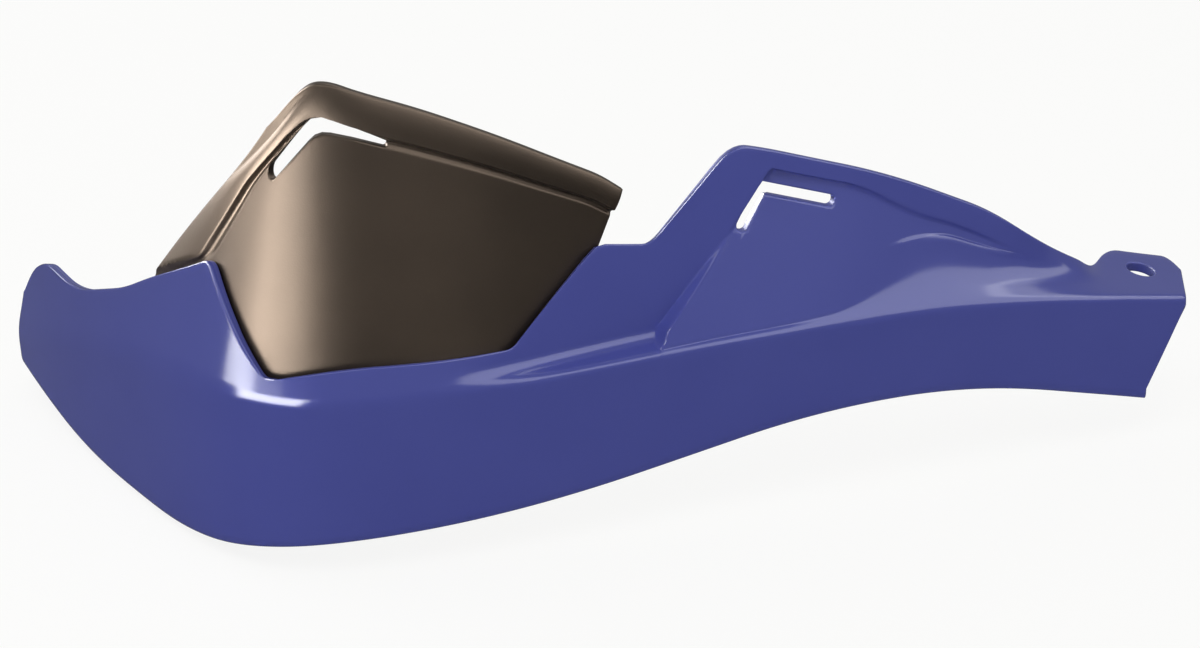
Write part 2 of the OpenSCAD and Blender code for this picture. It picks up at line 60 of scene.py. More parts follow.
# Sizes of the shell. A slant is how much more wall than its thickness a line straight back goes through.
GUARD_RUN = 431
WALL = 3
BAND_DRAFT = 4
LIP_WIDTH = 9
LIP_ROUND = 4
LEDGE_DEPTH = 8
SWEEP_DEPTH = 10
SWEEP_RISE = 12
EDGE_ROUND = 0.6
FIN_TOP = 64
FIN_TIP_RUN = 138
FIN_FOOT_RUN = 165
SHOULDER_TOP = 39
PANEL_RUN = 167
PANEL_STEP = 1.4
PANEL_SET = 1.2
PANEL_SINK = 2.4
PANEL_SLANT = 1.06
RIM_WIDTH = 6.5
RIM_FLARE = 7.5
NOTCH_IN_TOP = 181
NOTCH_IN_LOW = 209
NOTCH_OUT_LOW = 282
NOTCH_OUT_TOP = 311
NOTCH_FLOOR = 15
CORNER_TOP = 41
BOLT_HOLE = 8.5
HOLE_DEPTH = 19.5
HOLE_RUN = 13.5
TAB_TILT = 12.3
TAB_DEPTH = 33
TAB_WIDTH = 24
NECK_RUN = 60
BAND_SLANT = 1.005

# Sizes of the deflector. The patch's width and height are rough, and only space its columns and rows.
DEFLECTOR_WALL = 2.6
SEAT_GAP = 0.4
DEFLECTOR_TOP = 93.5
DEFLECTOR_IN_TOP = 54
DEFLECTOR_IN_RUN = 172
DEFLECTOR_OUT_RUN = 297
BORDER_RISE = 2
BORDER_SHARE = 0.1
BORDER_SPAN = 0.085
BORDER_WIDTH = 8
BORDER_BEND = 20
BORDER_CROWN = 0.3
GROOVE_DEPTH = 0.55
GROOVE_AT = 1.1
GROOVE_WIDTH = 0.7
PATCH_WIDTH = 128
PATCH_HEIGHT = 90

# Sizes of the fasteners
SCREW_R = 1.9
HEAD_R = 3.8
HEAD_T = 2.4
WASHER_R = 6
WASHER_T = 1
POST_R = 4
POST_RISE = 4
SCREW_BITE = 8
COLLAR_R = 6.5
COLLAR_PROUD = 0.2
FIT = 0.1
INSERT_R = 4.2
INSERT_LENGTH = 10
INSERT_BORE_R = 2.5
BOSS_R = 7
BOSS_HEIGHT = 12
RIB_T = 2
RIB_DEPTH = 6


def mix(a, b, k):
    return a + (b - a) * k


def ease(k):
    c = np.clip(k, 0, 1)
    return c * c * (3 - 2 * c)


def soft_min(a, b, k):
    h = np.maximum(k - np.abs(a - b), 0) / k
    return np.minimum(a, b) - h * h * k / 4


def soft_max(a, b, k):
    return -soft_min(-a, -b, k)


def pair(x, y):
    return np.stack(np.broadcast_arrays(np.asarray(x, float), np.asarray(y, float)), -1)


def wide(k):
    return np.asarray(k, float)[..., None]


def length(v):
    return np.sqrt((v * v).sum(-1))


def unit(v):
    return v / wide(length(v))


def bent(knots, t):
    """Height at t of a bent line through [run, value, reach of the rounding] knots."""
    t = np.asarray(t, float)
    slopes = [(b[1] - a[1]) / (b[0] - a[0]) for a, b in zip(knots, knots[1:])]
    value = knots[0][1] + slopes[0] * (t - knots[0][0])
    for (run, _, reach), before, after in zip(knots[1:-1], slopes, slopes[1:]):
        d = t - run
        r = max(reach, 1e-6)
        value = value + (after - before) * np.where(d <= -r, 0, np.where(d >= r, d, (d + r) ** 2 / (4 * r)))
    return value


# The crease in plan, from its heading in degrees
HEADING = [[0, 26, 0], [100, 22.5, 60], [205, 21, 40], [256, 14.5, 18], [302, -47, 16], [330, -58, 12],
           [GUARD_RUN, -69, 0]]
PATH_STEP = 0.25
STATIONS = np.arange(0, GUARD_RUN + 1.5, PATH_STEP)
STEPS = np.radians(bent(HEADING, STATIONS[:-1] + PATH_STEP / 2))
PATH_X = -PATH_STEP * np.concatenate([[0], np.cumsum(np.cos(STEPS))])
PATH_Y = -PATH_STEP * np.concatenate([[0], np.cumsum(np.sin(STEPS))])


def along(t):
    return pair(np.interp(t, STATIONS, PATH_X), np.interp(t, STATIONS, PATH_Y))


def aim(t):
    """Headings of the sections in degrees: straight back at the tab, and further out square to the crease."""
    return bent(HEADING, t) * bent([[0, 0, 0], [16, 0, 6], [44, 1, 10], [500, 1, 0]], t)


def back(t):
    a = np.radians(aim(t))
    return pair(-np.sin(a), np.cos(a))


HOLE = along(HOLE_RUN) + HOLE_DEPTH * back(HOLE_RUN)


def plan(t, depth):
    return along(t) + wide(depth) * back(t) - HOLE


def place(t, depth, height):
    p = plan(t, depth)
    return np.concatenate([p, wide(np.broadcast_to(height, p.shape[:-1]))], -1)


# Rails of the shell
def near_tab(t, depth, height):
    """The height given, or that of the tilted tab near the inner end."""
    share = 1 - ease((t - 20) / 12)
    return mix(height, -math.tan(math.radians(TAB_TILT)) * plan(t, depth)[..., 0], share)


def crease_z(t):
    return near_tab(t, 0 * t, bent([[0, -2.8, 0], [50, 6.8, 25], [125, 12, 45], [240, 7.4, 50], [300, 9, 20],
                                    [350, 3, 25], [GUARD_RUN, -27, 0]], t))


def low_z(t):
    return bent([[0, -39, 0], [65, -19.8, 25], [115, -18.6, 25], [205, -35, 35], [270, -38, 20],
                 [318, -46, 20], [380, -46.5, 20], [GUARD_RUN, -39.5, 0]], t)


def ledge_in(t):
    return bent([[0, 9, 0], [18, 15, 5], [28, 9, 5], [60, SWEEP_DEPTH, 10], [95, SWEEP_DEPTH, 10],
                 [125, LEDGE_DEPTH - 1.5, 15], [PANEL_RUN, LEDGE_DEPTH, 15], [200, LEDGE_DEPTH - 2, 10],
                 [228, 0.4, 14], [GUARD_RUN, 0.4, 0]], t)


def ledge_z(t):
    rise = bent([[0, 0, 0], [25, 0.5, 5], [50, 5, 8], [62, 7.5, 6], [78, SWEEP_RISE, 8],
                 [95, SWEEP_RISE - 2, 8], [125, 2, 12], [PANEL_RUN, 1.5, 10], [GUARD_RUN, 1.5, 0]], t)
    return near_tab(t, ledge_in(t), crease_z(t) + rise)


def rim_in(t):
    return bent([[0, 19, 0], [4, TAB_DEPTH - 4, 2.5], [TAB_WIDTH - 3, TAB_DEPTH, 2.5],
                 [TAB_WIDTH + 3, 17, 2.5], [46, 10.5, 8], [62, 11.5, 8], [FIN_TIP_RUN, 15.5, 20],
                 [200, 17, 30], [GUARD_RUN, 17, 0]], t)


def rim_z(t):
    return near_tab(t, rim_in(t), bent([[0, -2.8, 0], [24, 3, 4], [58, 30.5, 8], [90, 47, 15],
                                        [FIN_TIP_RUN, FIN_TOP, 15], [165, FIN_TOP + 4, 10],
                                        [GUARD_RUN, FIN_TOP + 4, 0]], t))


# Upper outline from the fin's tip outward, with the notch in it
OUTLINE = [[FIN_TIP_RUN, FIN_TOP, 0], [FIN_FOOT_RUN, SHOULDER_TOP, 3], [NOTCH_IN_TOP, SHOULDER_TOP + 2.4, 2],
           [NOTCH_IN_LOW, NOTCH_FLOOR + 1.6, 2], [262, NOTCH_FLOOR + 3.2, 14],
           [NOTCH_OUT_LOW, NOTCH_FLOOR - 1, 2], [NOTCH_OUT_TOP, CORNER_TOP, 2.5], [338, 27, 8], [353, 18, 6],
           [385, 4.5, 12], [414, 1.5, 6], [425, -5.5, 4], [GUARD_RUN, -16, 0]]


def top_z(t):
    return np.where(t < NECK_RUN, rim_z(t), soft_min(rim_z(t), bent(OUTLINE, t), 6))


def knee(t):
    slide = bent([[0, 0, 0], [200, 0, 5], [228, 0.045, 5], [288, 0.045, 5], [306, 0.14, 6], [340, 0.14, 6],
                  [358, 0.08, 6], [GUARD_RUN, 0.08, 0]], t)
    return mix(pair(ledge_in(t), ledge_z(t)), pair(rim_in(t), rim_z(t)), wide(slide))


def draft(t):
    return BAND_DRAFT * (crease_z(t) - low_z(t)) / 45


# A section of the wall at a run has five corners in [depth, height]: lip, lower edge, crease, knee, rim
def corners(t):
    return [pair(draft(t) + LIP_WIDTH, low_z(t)), pair(draft(t), low_z(t)), pair(0 * t, crease_z(t)),
            knee(t), pair(rim_in(t), rim_z(t))]


def reaches(t):
    crease_round = bent([[0, 2.2, 0], [200, 2.2, 20], [300, 8, 20], [340, 16, 20], [GUARD_RUN, 16, 0]], t)
    knee_round = bent([[0, 2, 0], [30, 2, 6], [60, 7, 12], [90, 7, 12], [130, 3, 15], [GUARD_RUN, 3, 0]], t)
    return [0 * t, 0 * t + LIP_ROUND, crease_round, knee_round, 0 * t]


def inward(a, b):
    d = unit(b - a)
    return pair(d[..., 1], -d[..., 0])


def inset_corners(t, d):
    """The same corners on a surface that lies d inside the outer one."""
    c = corners(t)
    sides = [inward(a, b) for a, b in zip(c, c[1:])]
    moved = [c[0] + wide(d) * sides[0]]
    for p, m, n in zip(c[1:-1], sides, sides[1:]):
        moved.append(p + wide(d) * (m + n) / wide(1 + (m * n).sum(-1)))
    return moved + [c[4] + wide(d) * sides[3]]


def bezier(a, b, c, k):
    return (1 - k) ** 2 * a + 2 * k * (1 - k) * b + k * k * c


def reach_of(c, r, i):
    return np.minimum(r[i], np.minimum(0.48 * length(c[i] - c[i - 1]), 0.48 * length(c[i + 1] - c[i])))


def leaving(c, r, i):
    return c[0] if i == 0 else c[i] + wide(reach_of(c, r, i)) * unit(c[i + 1] - c[i])


def arriving(c, r, i):
    return c[4] if i == 4 else c[i] + wide(reach_of(c, r, i)) * unit(c[i - 1] - c[i])


def on_row(c, r, corner, share):
    """Round a corner for a share up to 1, or on along the side after it for one above 1."""
    if share <= 1 and corner > 0:
        return bezier(arriving(c, r, corner), c[corner], leaving(c, r, corner), share)
    return mix(leaving(c, r, corner), arriving(c, r, corner + 1), share - 1)


# Columns lean with the panel's outer edge above the crease, and with the cut inner end below it
KNEE_SHARE = 0.05


def lean_share(k):
    return mix(KNEE_SHARE, 1, k * (1.35 - 0.35 * k))


def lean_above(u):
    return bent([[0, 0, 0], [60, 0, 10], [PANEL_RUN, -46, 8], [200, 0, 8], [GUARD_RUN, 0, 0]], u)


def lean_below(u):
    return bent([[0, 12, 0], [60, 0, 10], [GUARD_RUN, 0, 0]], u)


def wall_run(u, k):
    return u + lean_above(u) * lean_share(k)


def wall_point(t, k, d):
    c = inset_corners(t, d)
    return mix(leaving(c, reaches(t), 3), c[4], wide(k))


def over(u, k):
    t = wall_run(u, k)
    return wall_point(t, k, 0 * t)[..., 1] - top_z(t)


def top_share(u):
    """Where a column meets the outline, as a share of the wall's height, found by halving."""
    low, high = 0 * u, 0 * u + 1
    for _ in range(22):
        middle = (low + high) / 2
        above = over(u, middle) > 0
        low, high = np.where(above, low, middle), np.where(above, middle, high)
    return np.where((u < NECK_RUN) | (over(u, 0 * u + 1) <= 0), 1, high)


# The panel in the fin lies in a plane through two points behind the crease and one under the tip,
# and bends back where the sweep begins
BEND_RUN = 105
PANEL_BEND = 0.15
TIP_IN = 6
TIP_DOWN = 14


def panel_plane():
    a = place(PANEL_RUN, PANEL_SET, crease_z(np.float64(PANEL_RUN)))
    b = place(BEND_RUN, PANEL_SET, crease_z(np.float64(BEND_RUN)))
    tip = np.float64(FIN_TIP_RUN - TIP_IN)
    height = FIN_TOP - TIP_DOWN
    low, high = knee(tip), pair(rim_in(tip), rim_z(tip))
    k = (height - low[1]) / (high[1] - low[1])
    c = place(tip, mix(low[0], high[0], k) + PANEL_SINK, height)
    return a, np.cross(b - a, c - a)


PANEL_A, PANEL_N = panel_plane()


def panel_depth(t, h):
    away = PANEL_A - place(t, 0 * t, h)
    bend = bent([[-500, 0, 0], [0, 0, 12], [500, 500, 0]], BEND_RUN - np.asarray(t, float))
    return (away @ PANEL_N) / (back(t) @ PANEL_N[:2]) + PANEL_BEND * bend


def band_depth(t, h):
    return draft(t) * (crease_z(t) - h) / (crease_z(t) - low_z(t))


def with_panel(u, t, p, d, share, rear, low=0):
    """Sinks a point of the wall to the panel. For low = 1 the ledge runs back only as far as the panel."""
    h = p[..., 1]
    side = (PANEL_RUN - WALL - u) / 3 if rear else (PANEL_RUN - u) / PANEL_STEP
    m = share * ease(side) * ease((t - 50) / 14)
    sunk = panel_depth(t, h) + d * PANEL_SLANT
    nearer = soft_min(p[..., 0], sunk, mix(2.5, 0.8, ease((t - 95) / 20)))
    return pair(mix(p[..., 0], mix(sunk, nearer, low), m), h)


def edge_inset(s):
    """How far a moulded edge is rounded in at a distance s from its end."""
    left = np.maximum(EDGE_ROUND - s, 0)
    return EDGE_ROUND - np.sqrt(np.maximum(EDGE_ROUND ** 2 - left ** 2, 0))


def steps(*stretches):
    """Stations from stretches of [start, end, spacing], with the last end kept."""
    found = []
    for start, end, spacing in stretches:
        n = max(1, round((end - start) / spacing))
        found.append(start + (end - start) * np.arange(n) / n)
    return np.concatenate(found + [[stretches[-1][1]]])


EDGE_STEPS = EDGE_ROUND * (1 - np.cos(np.radians([0, 22.5, 45, 67.5, 90])))
COLUMNS = np.concatenate([EDGE_STEPS[:-1], steps(
    [EDGE_ROUND, 6, 0.8], [6, TAB_WIDTH - 6, 1.5], [TAB_WIDTH - 6, TAB_WIDTH + 7, 0.6],
    [TAB_WIDTH + 7, 70, 1.6], [70, FIN_TIP_RUN, 2.2], [FIN_TIP_RUN, PANEL_RUN - PANEL_STEP, 1.4],
    [PANEL_RUN - PANEL_STEP, PANEL_RUN, 0.2], [PANEL_RUN, NOTCH_IN_TOP - 3, 0.6],
    [NOTCH_IN_TOP - 3, NOTCH_IN_TOP + 3, 0.5],
    [NOTCH_IN_TOP + 3, NOTCH_IN_LOW - 3, 1.5], [NOTCH_IN_LOW - 3, NOTCH_IN_LOW + 3, 0.5],
    [NOTCH_IN_LOW + 3, 250, 2.2], [250, NOTCH_OUT_LOW - 3, 1.2], [NOTCH_OUT_LOW - 3, NOTCH_OUT_LOW + 3, 0.5],
    [NOTCH_OUT_LOW + 3, NOTCH_OUT_TOP - 3, 1.1], [NOTCH_OUT_TOP - 3, NOTCH_OUT_TOP + 3, 0.5],
    [NOTCH_OUT_TOP + 3, 400, 2], [400, GUARD_RUN - EDGE_ROUND, 1]), GUARD_RUN - EDGE_STEPS[-2::-1]])


# A distance past every rounded edge
FAR = 9


def shell_side(rear):
    """Grid of places on the front or the rear of the shell, from the lip's end to the rim."""
    u = COLUMNS
    end_inset = edge_inset(np.minimum(u, GUARD_RUN - u))
    top = top_share(u)
    rows = []

    def inset(s):
        d = np.maximum(end_inset, edge_inset(s))
        return WALL - d if rear else d

    def lift(t, p):
        rows.append(place(t, p[..., 0], p[..., 1]))

    for s in [*EDGE_STEPS, 2, 3.5]:
        t, d = u + lean_below(u), inset(s)
        c = inset_corners(t, d)
        lift(t, c[0] + s * unit(c[1] - c[0]))
    band = [(1, k) for k in steps([0, 1, 0.125])] + [(1, k) for k in steps([1.1, 1.9, 0.1])]
    band += [(2, k) for k in steps([0, 1, 0.125])] + [(2, k) for k in steps([1.15, 1.85, 0.14])]
    for corner, k in band:
        share = 0 if corner == 2 else 1 - max(0, k - 1)
        t, d = u + lean_below(u) * share, inset(FAR)
        p = on_row(inset_corners(t, d), reaches(t), corner, k)
        lift(t, with_panel(u, t, p, d, 1, rear, 1) if corner == 2 else p)
    for k in steps([0, 1, 0.125]):
        t, d = u + lean_above(u) * KNEE_SHARE * k, inset(FAR)
        p = on_row(inset_corners(t, d), reaches(t), 3, k)
        lift(t, with_panel(u, t, p, d, 1, rear, 1))
    t = wall_run(u, top)
    tall = length(inset_corners(t, 0 * t)[4] - leaving(inset_corners(t, 0 * t), reaches(t), 3))
    rim = RIM_WIDTH + RIM_FLARE * ease((102 - t) / 34)
    low = np.maximum(top - rim / np.maximum(rim_z(t) - knee(t)[..., 1], 1), 0.1 * top)
    high = np.maximum(top - EDGE_ROUND / tall, mix(low, top, 0.5))
    for s in steps([0, 1, 0.045])[1:]:
        t, d = wall_run(u, low * s), inset(FAR)
        lift(t, with_panel(u, t, wall_point(t, low * s, d), d, 1, rear, 1 - ease(s / 0.2)))
    for s in [0.04, 0.08, 0.12, 0.16, 0.2, 0.3, 0.4, 0.5, 0.65, 0.8]:
        m = mix(low, high, s)
        t, d = wall_run(u, m), inset(FAR)
        share = 1 - ease((s - 0.2) / 0.4) if rear else 1 - ease(s / 0.2)
        lift(t, with_panel(u, t, wall_point(t, m, d), d, share, rear))
    for s in EDGE_STEPS[::-1]:
        m = mix(high, top, 1 - s / EDGE_ROUND)
        t, d = wall_run(u, m), inset(s)
        lift(t, wall_point(t, m, d))
    return np.stack(rows, 1)


def faces_between(n, m):
    """Quads of a closed sheet between two grids of n by m places, the front one first."""
    a = np.arange(n * m).reshape(n, m)
    b = a + n * m

    def quads(p, q, r, s):
        return np.stack([p.ravel(), q.ravel(), r.ravel(), s.ravel()], -1)

    return np.concatenate([
        quads(a[:-1, :-1], a[1:, :-1], a[1:, 1:], a[:-1, 1:]),
        quads(b[:-1, :-1], b[:-1, 1:], b[1:, 1:], b[1:, :-1]),
        quads(a[:-1, 0], b[:-1, 0], b[1:, 0], a[1:, 0]),
        quads(a[:-1, -1], a[1:, -1], b[1:, -1], b[:-1, -1]),
        quads(a[0, :-1], a[0, 1:], b[0, 1:], b[0, :-1]),
        quads(a[-1, :-1], b[-1, :-1], b[-1, 1:], a[-1, 1:])])


def signed_volume(points, faces):
    total = 0
    for i in range(1, faces.shape[1] - 1):
        p, q, r = points[faces[:, 0]], points[faces[:, i]], points[faces[:, i + 1]]
        total += np.einsum("ij,ij->i", p, np.cross(q, r)).sum()
    return total / 6


def mesh_object(name, points, faces, attribute, kind, channel, values):
    """An object in metres with one attribute on its points, in the scene."""
    mesh = bpy.data.meshes.new(name)
    mesh.from_pydata((points * MM).tolist(), [], faces)
    mesh.attributes.new(attribute, kind, "POINT").data.foreach_set(channel, values.astype(np.float32))
    mesh.update()
    obj = bpy.data.objects.new(name, mesh)
    bpy.context.scene.collection.objects.link(obj)
    return obj


def solid(name, points, faces, behind):
    """A closed mesh with its faces turned outward. behind is 1 on the side that faces the hand."""
    points = points.reshape(-1, 3)
    if signed_volume(points, faces) < 0:
        faces = faces[:, ::-1]
    return mesh_object(name, points, faces.tolist(), "behind", "FLOAT", "value", behind)


def sheet(name, front, rear):
    """A closed sheet between its front grid and its rear one."""
    n, m = front.shape[:2]
    points = np.concatenate([front.reshape(-1, 3), rear.reshape(-1, 3)])
    return solid(name, points, faces_between(n, m), np.repeat([0, 1], n * m))


def loft(name, rings):
    """A closed solid through rings of the same number of points, with its two ends capped by fans."""
    rings = np.asarray(rings, float)
    m, n = rings.shape[:2]
    index = np.arange(m * n).reshape(m, n)
    after = np.roll(index, -1, 1)
    sides = np.stack([index[:-1].ravel(), after[:-1].ravel(), after[1:].ravel(), index[1:].ravel()], -1)
    low, high = m * n, m * n + 1
    caps = [[low, b, a, a] for a, b in zip(index[0], after[0])]
    caps += [[high, a, b, b] for a, b in zip(index[-1], after[-1])]
    points = np.concatenate([rings.reshape(-1, 3), [rings[0].mean(0), rings[-1].mean(0)]])
    faces = [list(q) for q in sides] + [q[:3] for q in caps]
    if signed_volume(points, np.concatenate([sides, np.array(caps)])) < 0:
        faces = [q[::-1] for q in faces]
    faces = [[int(i) for i in q] for q in faces]
    return mesh_object(name, points, faces, "behind", "FLOAT", "value", np.ones(len(points)))


def settled(obj):
    """Applies an object's modifiers to its mesh."""
    graph = bpy.context.evaluated_depsgraph_get()
    mesh = bpy.data.meshes.new_from_object(obj.evaluated_get(graph))
    obj.modifiers.clear()
    old = obj.data
    obj.data = mesh
    mesh.name = obj.name
    bpy.data.meshes.remove(old)
    return obj


def combine(obj, others, operation):
    for other in others:
        cut = obj.modifiers.new(other.name, "BOOLEAN")
        cut.object = other
        cut.operation = operation
        cut.solver = "MANIFOLD"
        settled(obj)
        mesh = other.data
        bpy.data.objects.remove(other)
        bpy.data.meshes.remove(mesh)
    return obj


def smooth(obj, sharp_over=40):
    obj.data.shade_smooth()
    obj.data.set_sharp_from_angle(angle=math.radians(sharp_over))
    return obj


# Frames on the wall, with Z pointing square into the guard, X down and Y outward along the run
def set_in(t, depth, height, lean=0):
    origin = place(t, depth, height)
    turn = Matrix.Rotation(math.radians(90 + float(aim(np.float64(t)))), 3, "Z") \
        @ Matrix.Rotation(math.radians(90 + float(lean)), 3, "Y")
    return np.asarray(origin, float), np.array(turn)


def wall_depth(t, h, d):
    c = inset_corners(t, d + 0 * t)
    k = (h - c[3][..., 1]) / (c[4][..., 1] - c[3][..., 1])
    return mix(c[3][..., 0], c[4][..., 0], k)


def band_inner(t, h):
    return band_depth(t, h) + WALL * BAND_SLANT


def sheet_depth(t, h):
    """Front face of the deflector, a gap behind the shell."""
    return soft_max(band_depth(t, h) + WALL + SEAT_GAP, wall_depth(t, h, WALL + SEAT_GAP), 3)


def sheet_lean(t, h):
    return np.degrees(np.arctan2(sheet_depth(t, h + 3) - sheet_depth(t, h - 3), 6))


BOSSES = [(232, -14), (92, -3)]
POSTS = [(189.5, 25), (226, 4), (264, 3), (320, 17)]
RIBS = [40, 140, 185, 300, 350, 395]
BOSS_FRAMES = [set_in(t, band_inner(np.float64(t), h), h) for t, h in BOSSES]


def post_frame(t, h):
    t = np.float64(t)
    origin, turn = set_in(t, sheet_depth(t, h), h, sheet_lean(t, h))
    return origin + turn[:, 2] * DEFLECTOR_WALL, turn


POST_FRAMES = [post_frame(t, h) for t, h in POSTS]


def circle(n):
    return np.arange(n) / n * 2 * math.pi


def ring(r, z, angles):
    """Places about the Z axis. The radius r may be one for each angle."""
    r = np.broadcast_to(r, angles.shape)
    return np.stack([r * np.cos(angles), r * np.sin(angles), np.full(angles.shape, float(z))], -1)


def turned(name, seat, profile, around=64):
    """A solid turned about a frame's Z from a profile of [radius, Z], low end first."""
    origin, turn = seat
    return loft(name, [origin + ring(r, z, circle(around)) @ turn.T for r, z in profile])


def quarter():
    """Shares of a quarter round, from its start to its end, as [across, along]."""
    a = np.radians(np.linspace(0, 90, 5))
    return list(zip(np.sin(a), 1 - np.cos(a)))


# Shell: the closed sheet, with what stands on its back and what is cut through it
def rib(t):
    """A rib that tapers as it leaves the wall, with a filleted root and a rounded crest."""
    t = np.float64(t)
    tangent = -np.array([math.cos(math.radians(aim(t))), math.sin(math.radians(aim(t))), 0])
    high, low = mix(crease_z(t), low_z(t), 0.3), low_z(t) + WALL / 2
    rings = []
    for k in [0, 0.03, 0.08, 0.16, 0.3, 0.5, 0.7, 0.84, 0.92, 0.97, 1]:
        h = mix(low, high, k)
        rise = mix(RIB_DEPTH, RIB_DEPTH / 2, k) - 1.2 * (2 * k - 1) ** 8
        root = band_inner(t, h)
        half = RIB_T / 2
        flare = [(half + 0.9, -1), (half + 0.9, 0.02), (half + 0.35, 0.25), (half + 0.08, 0.65), (half, 1.1)]
        crest = [(half * 0.86, rise - 0.5), (half * 0.7, rise - 0.15), (half * 0.35, rise)]
        side = flare + crest
        outline = side + [(-w, q) for w, q in side[::-1]]
        rings.append([place(t, root + q, h) + w * tangent for w, q in outline])
    return loft("rib", rings)


def boss(seat):
    """A boss for an insert, with a filleted foot and a rounded head."""
    foot = [(BOSS_R + 1.6, -1), (BOSS_R + 1.6, 0.02), (BOSS_R + 0.75, 0.35), (BOSS_R + 0.2, 1),
            (BOSS_R, 1.9)]
    head = [(BOSS_R - 0.15, BOSS_HEIGHT - 0.6), (BOSS_R - 0.3, BOSS_HEIGHT - 0.2),
            (BOSS_R - 0.65, BOSS_HEIGHT)]
    return turned("boss", seat, foot + head)


def post(seat):
    """A post for a screw, which stands through the deflector's collar."""
    root = DEFLECTOR_WALL + SEAT_GAP + WALL / 2
    head = [(POST_R, POST_RISE - 0.5), (POST_R - 0.15, POST_RISE - 0.15), (POST_R - 0.5, POST_RISE)]
    return turned("post", seat, [(POST_R, -root)] + head, 48)


def pit(seat, r, bottom, top, lead):
    """Cutter for a round hole that opens at the top with a small lead-in."""
    profile = [(r * 0.5, bottom - 0.4), (r, bottom), (r, top - lead), (r + lead, top), (r + lead, top + 2)]
    return turned("pit", seat, profile, 48)


def bar_ring(a, b, ra, rb):
    """Outline round two circles, as [down, outward] points."""
    n = 14
    a, b = np.array(a, float), np.array(b, float)
    d = b - a
    heading = math.atan2(d[1], d[0])
    lean = math.acos((ra - rb) / math.hypot(*d))
    near = [a + ra * np.array([math.cos(x), math.sin(x)])
            for x in np.linspace(heading + lean, heading + 2 * math.pi - lean, n)]
    far = [b + rb * np.array([math.cos(x), math.sin(x)])
           for x in np.linspace(heading - lean, heading + lean, n)]
    return np.array(near + far)


MOUTH_ROUND = 0.55


def slot_cutter(centre, lean, a, b, ra, rb, surface, wall):
    """Cutter that follows a surface, with its mouths rounded over on both faces."""
    levels = [(-5, MOUTH_ROUND), (0, MOUTH_ROUND)]
    levels += [(d, MOUTH_ROUND - math.sqrt(MOUTH_ROUND ** 2 - (MOUTH_ROUND - d) ** 2))
               for d in [0.06, 0.18, 0.34, MOUTH_ROUND]]
    levels += [(wall - d, grow) for d, grow in levels[::-1]]
    rings = []
    for d, grow in levels:
        outline = bar_ring(a, b, ra + grow, rb + grow)
        t = centre[0] + outline[:, 1]
        h = centre[1] - outline[:, 0] * math.cos(math.radians(lean))
        rings.append(surface(t, h, d))
    return loft("slot", rings)


# The fin's vent: its bend in [run, height], and from there the ends of its two slots in [down, outward]
FIN_VENT = (130, 49)
VENT_WIDTH = 3.4
VENT_LOW = (12.2 * math.cos(math.radians(36)), 12.2 * math.sin(math.radians(36)))
VENT_IN = (21.2 * math.cos(math.radians(71)), -21.2 * math.sin(math.radians(71)))


def on_panel(t, h, d):
    return place(t, panel_depth(t, h) + d * PANEL_SLANT, h)


def fin_vent_cutters():
    t, h = np.float64(FIN_VENT[0]), FIN_VENT[1]
    lean = math.degrees(math.atan2(panel_depth(t, h) - panel_depth(t, h - 10), 10))
    r = VENT_WIDTH / 2
    return [slot_cutter(FIN_VENT, lean, (0, 0), end, r, r, on_panel, WALL)
            for end in (VENT_LOW, VENT_IN)]


def bolt_hole_cutter():
    """Cutter for the clamp bolt's hole, square to the tab, with both its mouths rounded over."""
    r = BOLT_HOLE / 2
    turn = np.array(Matrix.Rotation(math.radians(TAB_TILT), 3, "Y"))
    half = [(r + 0.5 - 0.5 * a, b * 0.5) for a, b in quarter()]
    profile = [(r + 0.5, 3)] + [(q, -z) for q, z in half]
    below = [(q, -WALL + z) for q, z in half[::-1]] + [(r + 0.5, -WALL - 3)]
    return turned("bolt_hole", (np.zeros(3), turn), (profile + below)[::-1])


def make_shell():
    obj = sheet("shell_moulding", shell_side(False), shell_side(True))
    combine(obj, [rib(t) for t in RIBS] + [boss(s) for s in BOSS_FRAMES] + [post(s) for s in POST_FRAMES],
            "UNION")
    cutters = [bolt_hole_cutter()] + fin_vent_cutters()
    cutters += [pit(s, INSERT_R + FIT, BOSS_HEIGHT - INSERT_LENGTH - 1, BOSS_HEIGHT, 0.3)
                for s in BOSS_FRAMES]
    cutters += [pit(s, SCREW_R + FIT, POST_RISE - SCREW_BITE, POST_RISE, 0.2) for s in POST_FRAMES]
    return smooth(combine(obj, cutters, "DIFFERENCE"))


# Deflector: a leaning patch between four edges in [run, height]
DEFLECTOR_LOW = [190, 346]
DEFLECTOR_FOOT = [[190, -4, 0], [280, -5, 20], [318, 4, 12], [346, 20, 0]]
DEFLECTOR_CREST = [[DEFLECTOR_IN_RUN, DEFLECTOR_IN_TOP + 0.6, 0], [178, DEFLECTOR_IN_TOP + 5.2, 3],
                   [208, 74.6, 10], [236, 86.6, 14], [264, DEFLECTOR_TOP + 1.3, 10], [283, 90, 8],
                   [DEFLECTOR_OUT_RUN, 80, 0]]
DEFLECTOR_INNER = [[-4, 190, 0], [36, NOTCH_IN_TOP, 4], [DEFLECTOR_IN_TOP, DEFLECTOR_IN_RUN, 0]]
DEFLECTOR_OUTER = [[20, 346, 0], [50, 323.7, 14], [80, DEFLECTOR_OUT_RUN, 0]]


def flat(c, g):
    """The patch with straight sides, at a share outward and a share upward."""
    t_low, t_high = mix(*DEFLECTOR_LOW, c), mix(DEFLECTOR_IN_RUN, DEFLECTOR_OUT_RUN, c)
    return mix(pair(t_low, bent(DEFLECTOR_FOOT, t_low)), pair(t_high, bent(DEFLECTOR_CREST, t_high)), wide(g))


